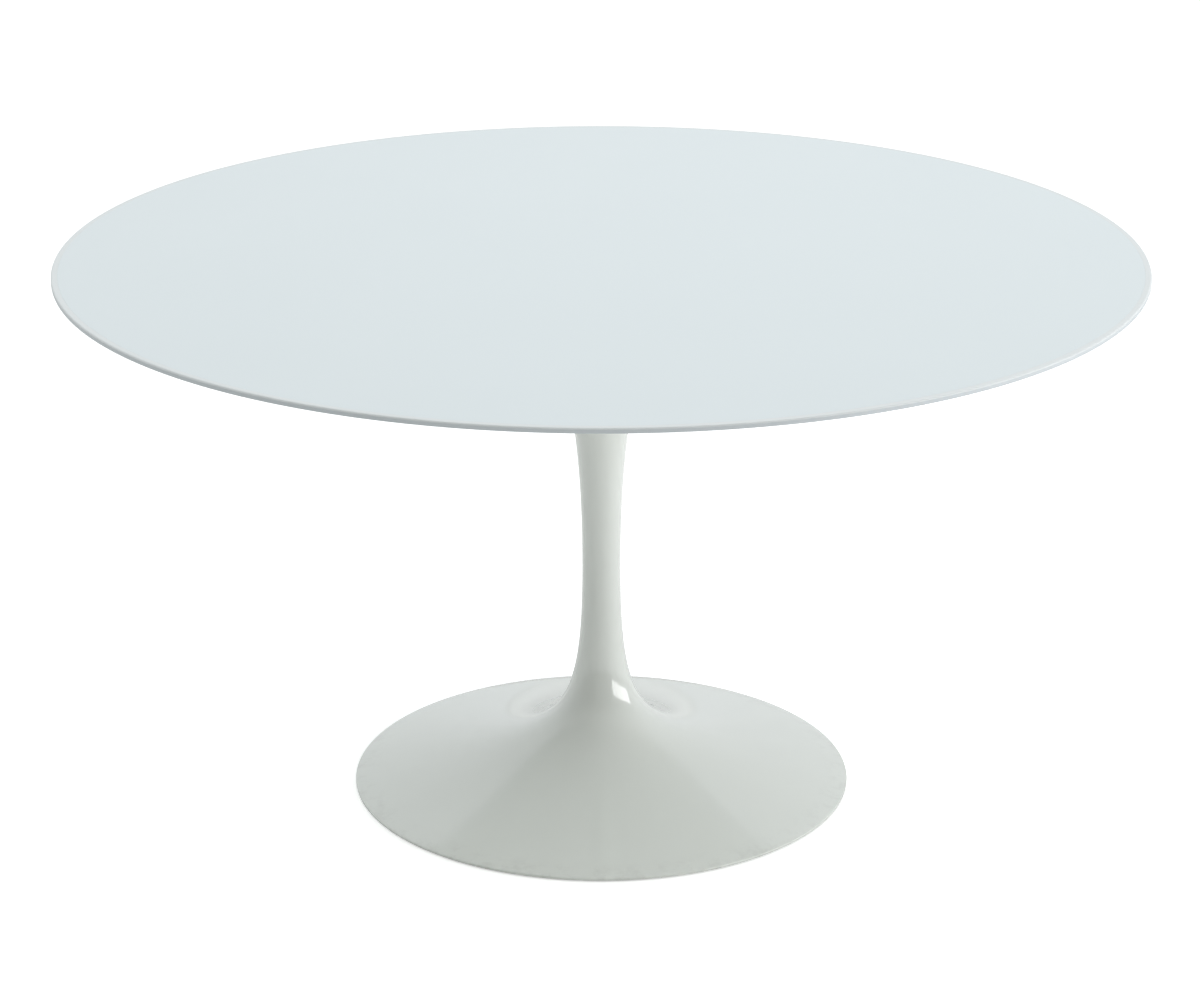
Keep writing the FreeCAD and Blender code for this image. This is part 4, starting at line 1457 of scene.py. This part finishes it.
@dataclass
class Foot:
    """The ballast in the foot, its bolts, and the glide ring that the table stands on."""

    sides: int = 192
    ballast: Span = field(default_factory=lambda: Span.of("ballast_ring"))
    glide: Span = field(default_factory=lambda: Span.of("glide_ring"))
    ballast_bore: float = 55 * MM
    counterbore: float = 12 * MM
    head_flats: float = 13 * MM
    head_chamfer: float = 0.8 * MM
    glide_width: float = 5 * MM
    bolts: Fasteners = field(default_factory=lambda: Fasteners(
        count=4, circle=130 * MM, first=0.0, shank=4 * MM, pitch=1.25 * MM, depth=0.75 * MM,
        taper=0.7 * MM, turns=19, washer_hole=4.5 * MM, washer_radius=8 * MM))

    def build_ballast(self) -> None:
        """The iron ring with rounded cast edges, its bolt holes and counterbores cut out."""
        iron, spare, wide, narrow = self.ballast, 2 * MM, self.counterbore, self.bolts.washer_hole
        host = placed("host", turned(band(self.ballast_bore, iron, mm(2, 2, 2, 1)), self.sides))
        low, seat, high = iron.bottom - spare, Span.of("ballast_washers").top, iron.top + spare
        outline = [(0, low), (wide, low), (wide, seat), (narrow, seat), (narrow, high), (0, high)]
        tool = placed("tool", self.bolts.ring(turned(outline, 48, False), CAST_IRON))
        cut = host.modifiers.new("cut", "BOOLEAN")
        cut.operation, cut.solver, cut.object = "DIFFERENCE", "EXACT", tool
        holed = baked(host)
        bpy.data.objects.remove(tool)
        piece("iron_ballast", holed, CAST_IRON, "ballast_iron", "ballast_ring")

    def build_bolts(self) -> None:
        """Hexagon-head bolts and their washers."""
        seat, crown = Span.of("ballast_washers").bottom, Span.of("ballast_bolts").bottom
        flats, shank, stub, inner = self.head_flats, self.bolts.shank, seat + 2 * MM, self.head_flats * 0.47
        rings = [Ring(crown, 0.0), Ring(crown, inner)]
        rings += hexagon_chamfer(crown, self.head_chamfer, inner, flats, 5)
        rings += [Ring(seat, math.inf, flats), Ring(seat, shank), Ring(stub, shank), Ring(stub, 0.0)]
        names = ("ballast_screws", "ballast_washer_ring")
        self.bolts.build(loft(rings, 72, False), names, seat + 1.5 * MM, "ballast_bolts", "ballast_washers")

    def build_glide(self) -> None:
        """The plastic ring, rounded where it meets the floor."""
        outline = band(self.glide.radius - self.glide_width, self.glide, mm(0.7, 0.7, 0.2, 0.2))
        piece("nylon_glide", turned(outline, self.sides), GLIDE_NYLON, "glide_nylon", "glide_ring")

    def build(self) -> None:
        """Builds what is in the foot."""
        self.build_ballast()
        self.build_bolts()
        self.build_glide()


# ---- studio -------------------------------------------------------------------------------------
@dataclass(frozen=True)
class SoftLight:
    """A soft rectangular light, aimed at a point on the table's axis."""

    name: str
    azimuth: float
    elevation: float
    distance: float
    width: float
    height: float
    power: float
    aim: float = 0.4
    colour: Colour = (1.0, 1.0, 1.0)

    def place(self) -> None:
        """Adds the light. Azimuth 0 is the camera's side and 90 its right, in degrees."""
        data = bpy.data.lights.new(self.name, "AREA")
        data.shape, data.size, data.size_y = "RECTANGLE", self.width, self.height
        data.energy, data.color = self.power, self.colour
        lamp = placed(self.name, data)
        azimuth, elevation = math.radians(self.azimuth), math.radians(self.elevation)
        flat = math.cos(elevation)
        away = Vector((math.sin(azimuth) * flat, -math.cos(azimuth) * flat, math.sin(elevation)))
        lamp.location = Vector((0, 0, self.aim)) + away * self.distance
        lamp.rotation_euler = (-away).to_track_quat("-Z", "Y").to_euler()
        lamp.visible_camera = False


@dataclass
class Studio:
    """Camera, floor, surroundings and lights."""

    lens: float = 102.52
    sensor: float = 36.0
    camera_place: tuple[float, float, float] = (0.0, -4.148, 1.882)
    camera_tilt: float = 19.77
    shift_right: float = -0.00113
    far_limit: float = 200.0
    floor_half: float = 60.0
    floor_colour: Colour = (0.92, 0.92, 0.92)
    floor_glow: float = 0.50
    front_wall: Colour = (0.15, 0.15, 0.135)
    front_ceiling: Colour = (0.93, 0.95, 0.90)
    back_wall: Colour = (0.82, 0.85, 0.86)
    lights: tuple[SoftLight, ...] = (
        SoftLight("overhead", 150, 72, 3.2, 2.6, 2.6, 24),
        SoftLight("right_window", 70, 6, 3.0, 3.2, 0.7, 32),
    )

    def camera(self) -> None:
        """The camera at the table's usual viewing angle."""
        data = bpy.data.cameras.new("camera")
        data.lens, data.sensor_width, data.shift_x = self.lens, self.sensor, self.shift_right
        data.clip_end = self.far_limit
        shooter = placed("camera", data)
        shooter.location = self.camera_place
        shooter.rotation_euler = (math.radians(90 - self.camera_tilt), 0, 0)
        bpy.context.scene.camera = shooter

    def floor(self) -> None:
        """A wide pale floor, one-sided so that the table can be seen from below."""
        half = self.floor_half
        mesh = bpy.data.meshes.new("floor")
        corners = [(-half, -half, 0), (half, -half, 0), (half, half, 0), (-half, half, 0)]
        mesh.from_pydata(corners, [], [(0, 1, 2, 3)])
        material = bpy.data.materials.new("floor_paint")
        material.use_nodes = True
        material.node_tree.nodes.clear()
        graph = Graph(material.node_tree)
        seen = graph.add("ShaderNodeLightPath").outputs["Is Camera Ray"]
        paint = graph.value("ShaderNodeBsdfPrincipled", {
            "Base Color": self.floor_colour,
            "Roughness": 0.9,
            "Specular IOR Level": 0.1,
            "Emission Color": (1.0, 1.0, 1.0),
            "Emission Strength": graph.product(seen, self.floor_glow),
        })
        clear = graph.value("ShaderNodeBsdfTransparent")
        below = graph.add("ShaderNodeNewGeometry").outputs["Backfacing"]
        mixed = graph.value("ShaderNodeMixShader", {0: below, 1: paint, 2: clear})
        graph.add("ShaderNodeOutputMaterial", {"Surface": mixed})
        mesh.materials.append(material)
        placed("floor", mesh)

    def surroundings(self) -> None:
        """Pale walls and ceiling, with a darker wall behind the camera."""
        world = bpy.data.worlds.new("studio")
        bpy.context.scene.world = world
        world.use_nodes = True
        world.node_tree.nodes.clear()
        graph = Graph(world.node_tree)
        direction = graph.split(graph.add("ShaderNodeTexCoord").outputs["Generated"])
        front = graph.blend(graph.remap(direction["Z"], 0.45, 0.85), self.front_wall, self.front_ceiling)
        all_round = graph.blend(graph.remap(direction["Y"], -0.8, 0.5), front, self.back_wall)
        sky = graph.value("ShaderNodeBackground", {"Color": all_round})
        graph.add("ShaderNodeOutputWorld", {"Surface": sky})

    def build(self) -> None:
        """Sets the studio up."""
        bpy.context.scene.view_settings.view_transform = "Standard"
        self.camera()
        self.floor()
        self.surroundings()
        for light in self.lights:
            light.place()


def main() -> None:
    """Builds the studio and every sub-assembly, in order."""
    logging.basicConfig(level=logging.INFO, format="%(name)s: %(message)s")
    Studio().build()
    for part in (TableTop(), Mounting(), Pedestal(), Clamp(), Foot()):
        part.build()


if __name__ == "__main__":
    main()
